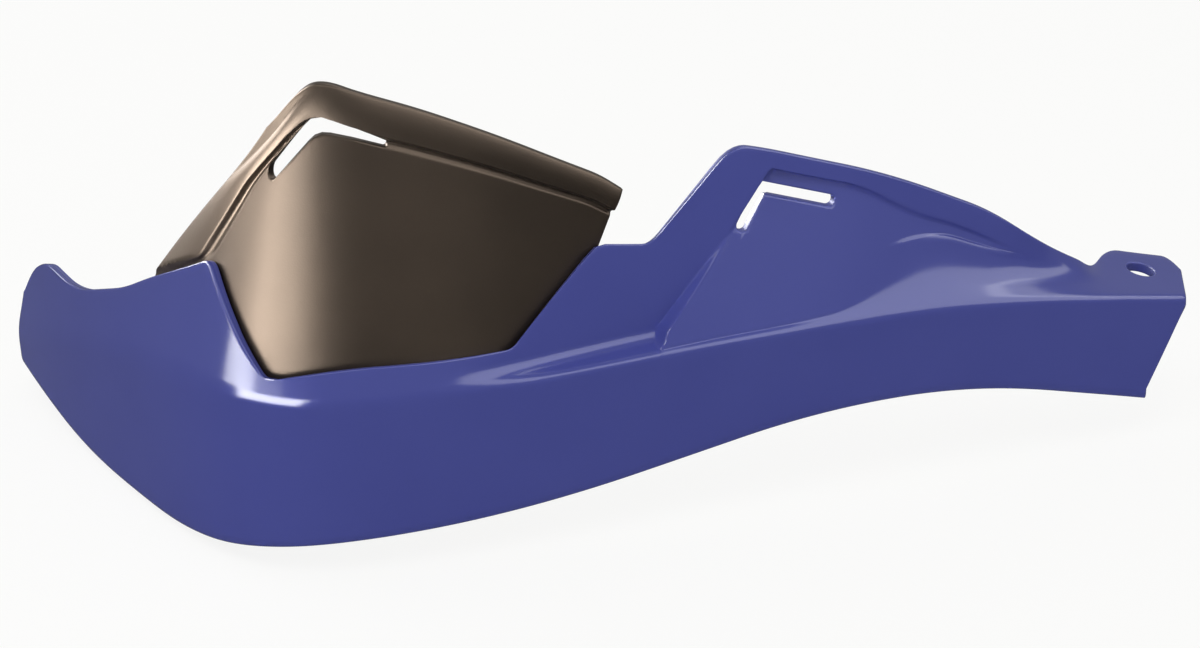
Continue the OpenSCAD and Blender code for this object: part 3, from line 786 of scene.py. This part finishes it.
def patch(c, g):
    """The same patch with its sides drawn out to the inner and outer edge."""
    start, end = flat(0 * c, g), flat(0 * c + 1, g)
    inner = pair(bent(DEFLECTOR_INNER, start[..., 1]), start[..., 1])
    outer = pair(bent(DEFLECTOR_OUTER, end[..., 1]), end[..., 1])
    return flat(c, g) + wide(1 - c) * (inner - start) + wide(c) * (outer - end)


def over_shell(t, h):
    """0 behind the shell and 1 above its outline."""
    return ease((h - bent(OUTLINE, t) - 0.2) / 2.2)


def border(c, g, t, h):
    """The crowned border, which turns the peak in a wide bend, and the groove along its inner side."""
    down = ((1 - g) / BORDER_SHARE - 1) * BORDER_WIDTH
    beside = ((1 - c) / BORDER_SPAN - 1) * BORDER_WIDTH
    a, b = np.maximum(BORDER_BEND - down, 0), np.maximum(BORDER_BEND - beside, 0)
    inside = BORDER_BEND - np.hypot(a, b)
    across = np.clip((inside + BORDER_WIDTH * 0.5) / (BORDER_WIDTH * 0.5), -1, 1)
    rise = BORDER_RISE * (1 - BORDER_CROWN * across ** 2) * ease(0.5 - inside / 1.2)
    groove = GROOVE_DEPTH * np.exp(-((inside - GROOVE_AT) / GROOVE_WIDTH) ** 2)
    return (rise - groove) * over_shell(t, h)


def deflector_side(rear):
    """Grid of places on the front or the rear of the deflector."""
    edge = EDGE_ROUND / PATCH_WIDTH
    across = np.concatenate([EDGE_STEPS[:-1] / PATCH_WIDTH, steps(
        [edge, 0.68, 0.0125], [0.68, 0.86, 0.005], [0.86, 0.93, 0.0025], [0.93, 1 - edge, 0.008]),
        1 - EDGE_STEPS[-2::-1] / PATCH_WIDTH])
    edge = EDGE_ROUND / PATCH_HEIGHT
    up = np.concatenate([EDGE_STEPS[:-1] / PATCH_HEIGHT, steps(
        [edge, 0.35, 0.009], [0.35, 0.6, 0.018], [0.6, 0.86, 0.007], [0.86, 0.92, 0.003],
        [0.92, 1 - edge, 0.012]), 1 - EDGE_STEPS[-2::-1] / PATCH_HEIGHT])
    c, g = np.meshgrid(across, up, indexing="ij")
    s = np.minimum(np.minimum(c, 1 - c) * PATCH_WIDTH, np.minimum(g, 1 - g) * PATCH_HEIGHT)
    inset = edge_inset(s)
    d = DEFLECTOR_WALL - inset if rear else inset
    p = patch(c, g)
    t, h = p[..., 0], p[..., 1]
    depth = sheet_depth(t, h) + d / np.cos(np.radians(sheet_lean(t, h))) - border(c, g, t, h)
    return place(t, depth, h)


def on_deflector(t, h, d):
    return place(t, sheet_depth(t, h) + d / np.cos(np.radians(sheet_lean(t, h))), h)


# The deflector's vent: its bend in [run, height], and from there its slots' corners in
# [down, outward, radius]
PEAK_VENT = (270, 79)
PEAK_BENDS = [(10.9, 21, 2.5), (-0.6, 2.8, 2.7), (-2.3, -1, 2.7), (-2.9, -5.5, 2.5), (-2.3, -10, 2.1),
              (-0.2, -18.9, 1.6), (3.4, -29, 0.9)]


def peak_vent_cutters():
    lean = float(sheet_lean(np.float64(PEAK_VENT[0]), PEAK_VENT[1]))
    return [slot_cutter(PEAK_VENT, lean, a[:2], b[:2], a[2], b[2], on_deflector, DEFLECTOR_WALL)
            for a, b in zip(PEAK_BENDS, PEAK_BENDS[1:])]


def collar(seat):
    """A collar round a post's hole, on which the screw's washer rests."""
    head = [(COLLAR_R, POST_RISE + COLLAR_PROUD - 0.4), (COLLAR_R - 0.12, POST_RISE + COLLAR_PROUD - 0.12),
            (COLLAR_R - 0.4, POST_RISE + COLLAR_PROUD)]
    foot = [(COLLAR_R + 1.1, -1), (COLLAR_R + 1.1, 0.02), (COLLAR_R + 0.5, 0.25), (COLLAR_R + 0.12, 0.7),
            (COLLAR_R, 1.3)]
    return turned("collar", seat, foot + head)


def make_deflector():
    obj = sheet("deflector_moulding", deflector_side(False), deflector_side(True))
    combine(obj, [collar(s) for s in POST_FRAMES], "UNION")
    holes = []
    for seat in POST_FRAMES:
        r = POST_R + 2 * FIT
        holes.append(turned("hole", seat, [(r, -DEFLECTOR_WALL - 2), (r, POST_RISE + 2)], 48))
    return smooth(combine(obj, holes + peak_vent_cutters(), "DIFFERENCE"))


# Fasteners: one mesh of each kind in the frame of its seat, set on the seats by Geometry Nodes
THREAD_PITCH = 1.34
THREAD_DEPTH = 0.24
THREAD_FADE = 0.8
SHANK = 0.6
WASHER_EDGE = 0.14
KNURLS = 26
KNURL_PITCH = 1.6
KNURL_DEPTH = 0.34
INSERT_ROUND = 0.45
BORE_PITCH = 0.8
BORE_DEPTH = 0.34
SCREW_LENGTH = SCREW_BITE + COLLAR_PROUD + WASHER_T - 0.4


def ridge(z, angles, pitch, width):
    """Height from 0 to 1 of a helical ridge."""
    phase = (z / pitch - angles / (2 * math.pi)) % 1
    return np.maximum(1 - np.abs(phase - 0.5) / width, 0)


def hoop(name, rings):
    """A solid ring through a closed loop of rings."""
    rings = np.asarray(rings, float)
    m, n = rings.shape[:2]
    a = np.arange(m * n).reshape(m, n)
    b, c = np.roll(a, -1, 0), np.roll(a, -1, 1)
    d = np.roll(b, -1, 1)
    faces = np.stack([a.ravel(), c.ravel(), d.ravel(), b.ravel()], -1)
    return solid(name, rings, faces, np.zeros(m * n))


def pan_screw():
    """A pan-head screw with a cross recess and a rolled thread; its head's seat is at 0."""
    angles = circle(48)
    rings = []
    for z in np.arange(-SCREW_LENGTH, -SHANK, 0.1):
        outer = SCREW_R * mix(0.3, 1, min(1, (z + SCREW_LENGTH) / SCREW_R))
        thread = THREAD_DEPTH * min(1, (-SHANK - z) / THREAD_FADE) * ridge(z, angles, THREAD_PITCH, 0.34)
        rings.append(ring(outer * (1 - THREAD_DEPTH + thread), z, angles))
    under = [(SCREW_R * 0.78, -0.4), (SCREW_R, -0.05), (SCREW_R + 0.3, 0), (HEAD_R - 0.2, 0),
             (HEAD_R - 0.05, 0.06), (HEAD_R, 0.2)]
    dome = [(1, 0.43), (0.985, 0.52), (0.94, 0.66), (0.86, 0.8), (0.73, 0.9), (0.56, 0.965), (0.34, 0.995),
            (0.12, 1)]
    rings += [ring(r, z, angles) for r, z in under]
    rings += [ring(HEAD_R * r, z * HEAD_T, angles) for r, z in dome]
    cross = []
    levels = [(0.42, 0.14, 0.07), (0.7, 0.4, 0.095), (1.0, 0.52, 0.115), (1.3, 0.64, 0.135)]
    for turn in (0, math.pi / 2):
        side = np.array([-math.sin(turn), math.cos(turn), 0])
        way = np.array([math.cos(turn), math.sin(turn), 0])
        cross.append(loft("cross", [[
            HEAD_R * (a * long * way + b * half * side) + np.array([0, 0, HEAD_T * z])
            for a, b in ((1, 1), (-1, 1), (-1, -1), (1, -1))] for z, long, half in levels]))
    return smooth(combine(loft("pan_screw", rings), cross, "DIFFERENCE"), 35)


def flat_washer():
    """A stamped washer with its edges broken."""
    bore, edge = SCREW_R + 2 * FIT, WASHER_EDGE
    loop = [(bore, edge), (bore + edge, 0), (WASHER_R - edge, 0), (WASHER_R, edge),
            (WASHER_R, WASHER_T - edge), (WASHER_R - edge, WASHER_T), (bore + edge, WASHER_T),
            (bore, WASHER_T - edge)]
    return smooth(hoop("flat_washer", [ring(r, z, circle(72)) for r, z in loop]), 30)


def knurled_insert():
    """A threaded insert with two bands of diamond knurl and a groove between them."""
    angles = circle(156)
    rings = [ring(INSERT_R - INSERT_ROUND, 0, angles)]
    for z in np.arange(0.25, INSERT_LENGTH - 0.2, 0.2):
        share = ease((abs(z / INSERT_LENGTH - 0.44) - 0.07) / 0.02)
        turns = KNURLS * angles / (2 * math.pi)
        waves = [np.abs(2 * ((turns + way * z / KNURL_PITCH) % 1) - 1) for way in (1, -1)]
        knurl = INSERT_R - KNURL_DEPTH * (1 - np.minimum(*waves))
        rings.append(ring(mix(INSERT_R - 0.5, knurl, share), z, angles))
    rings.append(ring(INSERT_R - INSERT_ROUND, INSERT_LENGTH, angles))
    rings.append(ring(INSERT_BORE_R + 0.4, INSERT_LENGTH, angles))
    for z in np.arange(INSERT_LENGTH - 0.35, 0.3, -0.12):
        rings.append(ring(INSERT_BORE_R + BORE_DEPTH * ridge(z, angles, BORE_PITCH, 0.45), z, angles))
    rings.append(ring(INSERT_BORE_R + 0.4, 0, angles))
    return smooth(hoop("knurled_insert", rings), 50)


def seat_tree():
    """Geometry Nodes that set a fastener on each seat, square to it and turned at random about its axis."""
    tree = bpy.data.node_groups.new("set_on_seats", "GeometryNodeTree")
    sockets = [tree.interface.new_socket(name, in_out="INPUT", socket_type=kind) for name, kind in (
        ("Seats", "NodeSocketGeometry"), ("Fastener", "NodeSocketObject"), ("Finish", "NodeSocketMaterial"),
        ("Seed", "NodeSocketInt"))]
    tree.interface.new_socket("Fasteners", in_out="OUTPUT", socket_type="NodeSocketGeometry")
    given = add(tree, "NodeGroupInput").outputs
    way = add(tree, "GeometryNodeInputNamedAttribute", {"data_type": "FLOAT_VECTOR"}, {"Name": "way"})
    square = add(tree, "FunctionNodeAlignRotationToVector", {"axis": "Z"},
                 links={"Vector": way.outputs["Attribute"]})
    angle = add(tree, "FunctionNodeRandomValue", {"data_type": "FLOAT"}, {3: 2 * math.pi},
                {"Seed": given["Seed"]})
    about = add(tree, "FunctionNodeAxisAngleToRotation", inputs={"Axis": (0, 0, 1)},
                links={"Angle": angle.outputs[1]})
    facing = add(tree, "FunctionNodeRotateRotation", {"rotation_space": "LOCAL"},
                 links={"Rotation": square.outputs[0], "Rotate By": about.outputs[0]})
    part = add(tree, "GeometryNodeObjectInfo", links={"Object": given["Fastener"]})
    points = add(tree, "GeometryNodeMeshToPoints", links={"Mesh": given["Seats"]})
    placed = add(tree, "GeometryNodeInstanceOnPoints", links={
        "Points": points.outputs[0], "Instance": part.outputs["Geometry"], "Rotation": facing.outputs[0]})
    real = add(tree, "GeometryNodeRealizeInstances", links={"Geometry": placed.outputs[0]})
    dressed = add(tree, "GeometryNodeSetMaterial",
                  links={"Geometry": real.outputs[0], "Material": given["Finish"]})
    add(tree, "NodeGroupOutput", links={"Fasteners": dressed.outputs[0]})
    return tree, [socket.identifier for socket in sockets]


def set_on_seats(name, template, seats, rise, finish, seed, tree, names):
    """One mesh of a fastener on all its seats, each raised along the seat's axis."""
    points = np.array([origin + turn[:, 2] * rise for origin, turn in seats])
    ways = np.concatenate([turn[:, 2] for _, turn in seats])
    obj = mesh_object(name, points, [], "way", "FLOAT_VECTOR", "vector", ways)
    setter = obj.modifiers.new("set_on_seats", "NODES")
    setter.node_group = tree
    setter[names[1]], setter[names[2]], setter[names[3]] = template, finish, seed
    settled(obj)
    shape = template.data
    bpy.data.objects.remove(template)
    bpy.data.meshes.remove(shape)
    return obj


# Materials
def linear(code):
    """A colour's sRGB hex value as linear red, green, blue and alpha."""
    parts = [int(code[i:i + 2], 16) / 255 for i in (1, 3, 5)]
    return (*[c / 12.92 if c <= 0.04045 else ((c + 0.055) / 1.055) ** 2.4 for c in parts], 1)


def material(name):
    made = bpy.data.materials.new(name)
    made.use_nodes = True
    tree = made.node_tree
    return made, tree, tree.nodes["Principled BSDF"]


def add(tree, kind, settings=None, inputs=None, links=None):
    """Adds a node with its settings, its sockets' values, and links of {socket: another node's socket}."""
    node = tree.nodes.new(kind)
    for key, value in (settings or {}).items():
        setattr(node, key, value)
    for key, value in (inputs or {}).items():
        node.inputs[key].default_value = value
    for key, socket in (links or {}).items():
        tree.links.new(socket, node.inputs[key])
    return node


def mottle(tree, surface, spot, scale, detail, tones, ends=(0, 1)):
    """Base colour that wanders between two tones in clouds 1 / scale metres wide."""
    cloud = add(tree, "ShaderNodeTexNoise", inputs={"Scale": scale, "Detail": detail}, links={"Vector": spot})
    ramp = add(tree, "ShaderNodeValToRGB", links={"Fac": cloud.outputs["Fac"]})
    for i in (0, 1):
        ramp.color_ramp.elements[i].position = ends[i]
        ramp.color_ramp.elements[i].color = linear(tones[i])
    tree.links.new(ramp.outputs["Color"], surface.inputs["Base Color"])


def blue_polypropylene():
    """Injection-moulded polypropylene, dyed in the mass: a deep blue under a glossy skin. The front has the
    faint waviness of a polished tool, about 4 mm from wave to wave. The back is duller, with an etched
    grain of 0.4 mm."""
    made, tree, surface = material("polypropylene_gloss_blue")
    spot = add(tree, "ShaderNodeTexCoord").outputs["Object"]
    behind = add(tree, "ShaderNodeAttribute", {"attribute_name": "behind"}).outputs["Fac"]
    mottle(tree, surface, spot, 18, 3, ("#454b92", "#494f96"), (0.3, 0.7))
    gloss = add(tree, "ShaderNodeMapRange", inputs={"To Min": 0.16, "To Max": 0.46}, links={"Value": behind})
    tree.links.new(gloss.outputs["Result"], surface.inputs["Roughness"])
    peel = add(tree, "ShaderNodeTexNoise", inputs={"Scale": 260, "Detail": 2}, links={"Vector": spot})
    grain = add(tree, "ShaderNodeTexNoise", inputs={"Scale": 2600, "Detail": 2}, links={"Vector": spot})
    both = add(tree, "ShaderNodeMix",
               links={"Factor": behind, "A": peel.outputs["Fac"], "B": grain.outputs["Fac"]})
    bump = add(tree, "ShaderNodeBump", inputs={"Strength": 0.12, "Distance": 0.0001},
               links={"Height": both.outputs["Result"]})
    tree.links.new(bump.outputs["Normal"], surface.inputs["Normal"])
    surface.inputs["IOR"].default_value = 1.49
    surface.inputs["Specular IOR Level"].default_value = 0.3
    return made


def bronze_polycarbonate():
    """Injection-moulded polycarbonate with bronze flake in it: dark brown, with a broad satin sheen. The
    flakes are drawn 0.5 mm wide, coarser than real ones, to show at all."""
    made, tree, surface = material("polycarbonate_satin_bronze")
    spot = add(tree, "ShaderNodeTexCoord").outputs["Object"]
    mottle(tree, surface, spot, 30, 4, ("#3c342d", "#433a32"), (0.3, 0.7))
    flake = add(tree, "ShaderNodeTexVoronoi", inputs={"Scale": 1800}, links={"Vector": spot})
    rough = add(tree, "ShaderNodeMapRange", inputs={"To Min": 0.36, "To Max": 0.44},
                links={"Value": flake.outputs["Distance"]})
    tree.links.new(rough.outputs["Result"], surface.inputs["Roughness"])
    bump = add(tree, "ShaderNodeBump", inputs={"Strength": 0.1, "Distance": 0.0001},
               links={"Height": flake.outputs["Distance"]})
    tree.links.new(bump.outputs["Normal"], surface.inputs["Normal"])
    surface.inputs["Metallic"].default_value = 0.9
    return made


def zinc_steel():
    """Cold-formed steel, bright zinc plated and tumbled: a pale grey, uneven by about 1 mm."""
    made, tree, surface = material("steel_zinc_plated")
    spot = add(tree, "ShaderNodeTexCoord").outputs["Object"]
    mottle(tree, surface, spot, 900, 4, ("#8f9296", "#b4b6ba"))
    surface.inputs["Metallic"].default_value = 1
    surface.inputs["Roughness"].default_value = 0.32
    return made


def turned_brass():
    """Brass turned from bar: yellow and bright, uneven by about 1.5 mm."""
    made, tree, surface = material("brass_turned")
    spot = add(tree, "ShaderNodeTexCoord").outputs["Object"]
    mottle(tree, surface, spot, 700, 4, ("#a98845", "#c9a75c"))
    surface.inputs["Metallic"].default_value = 1
    surface.inputs["Roughness"].default_value = 0.3
    return made


def finish_piece(obj, finish, slot, *nodes):
    obj.data.materials.clear()
    obj.data.materials.append(finish)
    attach(obj, "root")
    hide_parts(*nodes)


BLUE, BRONZE, STEEL, BRASS = blue_polypropylene(), bronze_polycarbonate(), zinc_steel(), turned_brass()
finish_piece(make_shell(), BLUE, "shell", "shell")
finish_piece(make_deflector(), BRONZE, "deflector", "deflector")
SEAT_TREE, SEAT_INPUTS = seat_tree()
COLLAR_TOP = POST_RISE + COLLAR_PROUD
INSERT_REST = BOSS_HEIGHT - INSERT_LENGTH
for name, make, seats, rise, finish, slot, node, seed in (
        ("pan_screws", pan_screw, POST_FRAMES, COLLAR_TOP + WASHER_T, STEEL, "steel", "deflector_screw_", 3),
        ("flat_washers", flat_washer, POST_FRAMES, COLLAR_TOP, STEEL, "steel", "deflector_washer_", 5),
        ("knurled_inserts", knurled_insert, BOSS_FRAMES, INSERT_REST, BRASS, "brass", "bar_insert_", 7)):
    piece = set_on_seats(name, make(), seats, rise, finish, seed, SEAT_TREE, SEAT_INPUTS)
    finish_piece(piece, finish, slot, *[node + str(i + 1) for i in range(len(seats))])
bpy.data.node_groups.remove(SEAT_TREE)


# Camera: straight in front and raised, framed by where the bolt's hole stands in the picture, in pixels
ELEVATION = math.radians(25)
LENS, SENSOR = 200, 36
FRAME_WIDTH, FRAME_HEIGHT = 1200, 648
PIXELS_PER_MM = 3.43
HOLE_AT = (1141, 269)


def make_camera():
    distance = FRAME_WIDTH / PIXELS_PER_MM * LENS / SENSOR
    forward = Vector((0, math.cos(ELEVATION), -math.sin(ELEVATION)))
    up = Vector((0, math.sin(ELEVATION), math.cos(ELEVATION)))
    target = Vector((1, 0, 0)) * ((FRAME_WIDTH / 2 - HOLE_AT[0]) / PIXELS_PER_MM) \
        + up * ((HOLE_AT[1] - FRAME_HEIGHT / 2) / PIXELS_PER_MM)
    data = bpy.data.cameras.new("camera")
    data.lens, data.sensor_width, data.sensor_fit = LENS, SENSOR, "HORIZONTAL"
    data.clip_end = 100
    camera = bpy.data.objects.new("camera", data)
    camera.location = (target - forward * distance) * MM
    camera.rotation_euler = forward.to_track_quat("-Z", "Y").to_euler()
    bpy.context.scene.collection.objects.link(camera)
    bpy.context.scene.camera = camera


# The middle of the guard, which every lamp faces
LIT_AT = Vector((-0.16, -0.05, 0.02))


def softbox(name, turn, rise, distance, width, height, radiance):
    """A rectangular white lamp, turned to the right of the camera and raised above the floor by these
    degrees, at a distance in metres."""
    turn, rise = math.radians(turn), math.radians(rise)
    way = Vector((math.sin(turn) * math.cos(rise), -math.cos(turn) * math.cos(rise), math.sin(rise)))
    data = bpy.data.lights.new(name, "AREA")
    data.shape, data.size, data.size_y = "RECTANGLE", width, height
    data.energy = radiance * math.pi * width * height
    light = bpy.data.objects.new(name, data)
    light.location = LIT_AT + way * distance
    light.rotation_euler = (-way).to_track_quat("-Z", "Y").to_euler()
    light.visible_camera = False
    bpy.context.scene.collection.objects.link(light)
    return light


# How bright the paper floor and the studio, from its left to its right, stand in the object's gloss, where
# white is 1. The camera sees both as white, and the floor keeps a share of its shadow.
FLOOR_GLOSS = 0.08
STUDIO_GLOSS = (0.22, 0.42)
STUDIO_LIGHT = 0.55
PAPER_SHARE = 0.88
FLOOR_REACH = 8
FLOOR_GAP = MM / 5

# The part of the floor that stands bright in the gloss is a sector about a point before the guard's outer
# corner. Each of its two sides fades in between two directions, in degrees to the right of the camera, and
# it starts between two distances from the point, in metres.
SECTOR_AT = (-0.262, -0.1)
SECTOR = ((-66, -60), (-6, -11))
SECTOR_START = (0.13, 0.17)
SECTOR_GLOSS = 42.0


def floor_gloss(tree):
    """Strength of the floor in the object's gloss."""
    at = add(tree, "ShaderNodeVectorMath", {"operation": "SUBTRACT"}, {1: (*SECTOR_AT, 0)},
             {0: add(tree, "ShaderNodeNewGeometry").outputs["Position"]})
    side = add(tree, "ShaderNodeSeparateXYZ", links={0: at.outputs[0]})
    front = add(tree, "ShaderNodeMath", {"operation": "MULTIPLY"}, {1: -1}, {0: side.outputs["Y"]})
    turn = add(tree, "ShaderNodeMath", {"operation": "ARCTAN2"},
               links={0: side.outputs["X"], 1: front.outputs[0]}).outputs[0]
    flat_at = add(tree, "ShaderNodeCombineXYZ", links={0: side.outputs["X"], 1: side.outputs["Y"]})
    away = add(tree, "ShaderNodeVectorMath", {"operation": "LENGTH"}, links={0: flat_at.outputs[0]})
    fades = [add(tree, "ShaderNodeMapRange", {"interpolation_type": "SMOOTHSTEP"},
                 {"From Min": start, "From Max": end}, {"Value": value}).outputs["Result"]
             for value, (start, end) in [(away.outputs["Value"], SECTOR_START)]
             + [(turn, (math.radians(start), math.radians(end))) for start, end in SECTOR]]
    sector = fades[0]
    for fade in fades[1:]:
        sector = add(tree, "ShaderNodeMath", {"operation": "MULTIPLY"},
                     links={0: sector, 1: fade}).outputs[0]
    return add(tree, "ShaderNodeMix", inputs={"A": FLOOR_GLOSS, "B": SECTOR_GLOSS},
               links={"Factor": sector}).outputs["Result"]


def light_path(tree):
    """Light Path's outputs, and 1 for rays that show the background: the camera's, and those in gloss
    or through glass."""
    rays = add(tree, "ShaderNodeLightPath").outputs
    seen = rays["Is Camera Ray"]
    for kind in ("Is Glossy Ray", "Is Transmission Ray"):
        seen = add(tree, "ShaderNodeMath", {"operation": "MAXIMUM"},
                   links={0: seen, 1: rays[kind]}).outputs[0]
    return rays, seen


def make_floor():
    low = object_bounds()[0].z - FLOOR_GAP
    mesh = bpy.data.meshes.new("floor")
    corners_at = [(x * FLOOR_REACH, y * FLOOR_REACH, low) for x, y in ((-1, -1), (1, -1), (1, 1), (-1, 1))]
    mesh.from_pydata(corners_at, [], [(0, 1, 2, 3)])
    floor = bpy.data.objects.new("floor", mesh)
    bpy.context.scene.collection.objects.link(floor)
    made, tree, surface = material("matt_paper_white")
    surface.inputs["Base Color"].default_value = linear("#e9e9e8")
    surface.inputs["Roughness"].default_value = 0.9
    rays, seen = light_path(tree)
    share = add(tree, "ShaderNodeMath", {"operation": "MULTIPLY"}, {1: PAPER_SHARE}, {0: seen})
    level = add(tree, "ShaderNodeMix", inputs={"A": 1.0},
                links={"Factor": rays["Is Glossy Ray"], "B": floor_gloss(tree)})
    white = add(tree, "ShaderNodeEmission", inputs={"Color": linear("#fefefd")},
                links={"Strength": level.outputs["Result"]})
    both = add(tree, "ShaderNodeMixShader",
               links={0: share.outputs[0], 1: surface.outputs[0], 2: white.outputs[0]})
    tree.links.new(both.outputs[0], tree.nodes["Material Output"].inputs["Surface"])
    mesh.materials.append(made)


def make_world():
    world = bpy.data.worlds.new("studio")
    world.use_nodes = True
    bpy.context.scene.world = world
    tree = world.node_tree
    lit = tree.nodes["Background"]
    lit.inputs["Color"].default_value = linear("#ffffff")
    lit.inputs["Strength"].default_value = STUDIO_LIGHT
    rays, seen = light_path(tree)
    way = add(tree, "ShaderNodeSeparateXYZ", links={0: add(tree, "ShaderNodeTexCoord").outputs["Generated"]})
    side = add(tree, "ShaderNodeMapRange", inputs={
        "From Min": -0.9, "From Max": 0.1, "To Min": STUDIO_GLOSS[0], "To Max": STUDIO_GLOSS[1]},
        links={"Value": way.outputs["X"]})
    dim = add(tree, "ShaderNodeMix", inputs={"A": 1.0},
              links={"Factor": rays["Is Glossy Ray"], "B": side.outputs["Result"]})
    shown = add(tree, "ShaderNodeBackground", inputs={"Color": linear("#fdfdfb")},
                links={"Strength": dim.outputs["Result"]})
    both = add(tree, "ShaderNodeMixShader", links={0: seen, 1: lit.outputs[0], 2: shown.outputs[0]})
    tree.links.new(both.outputs[0], tree.nodes["World Output"].inputs["Surface"])


make_camera()
make_floor()
make_world()
softbox("key_softbox", -12, 62, 1.6, 1.3, 0.9, 3)
# These light the gloss alone
for lamp in (("highlight_softbox_right", 71, 38, 2, 2.2, 1.5, 4.7),
             ("highlight_softbox_back", 140, 55, 2, 2, 0.9, 4),
             ("highlight_softbox_left", -62, 1.5, 2, 0.8, 0.18, 30),
             ("highlight_softbox_left_fade", -40, 1.5, 2, 0.8, 0.18, 9),
             ("highlight_softbox_far_left", -108, 26, 2, 2.2, 1.4, 29)):
    softbox(*lamp).visible_diffuse = False
bpy.context.scene.view_settings.view_transform = "Standard"
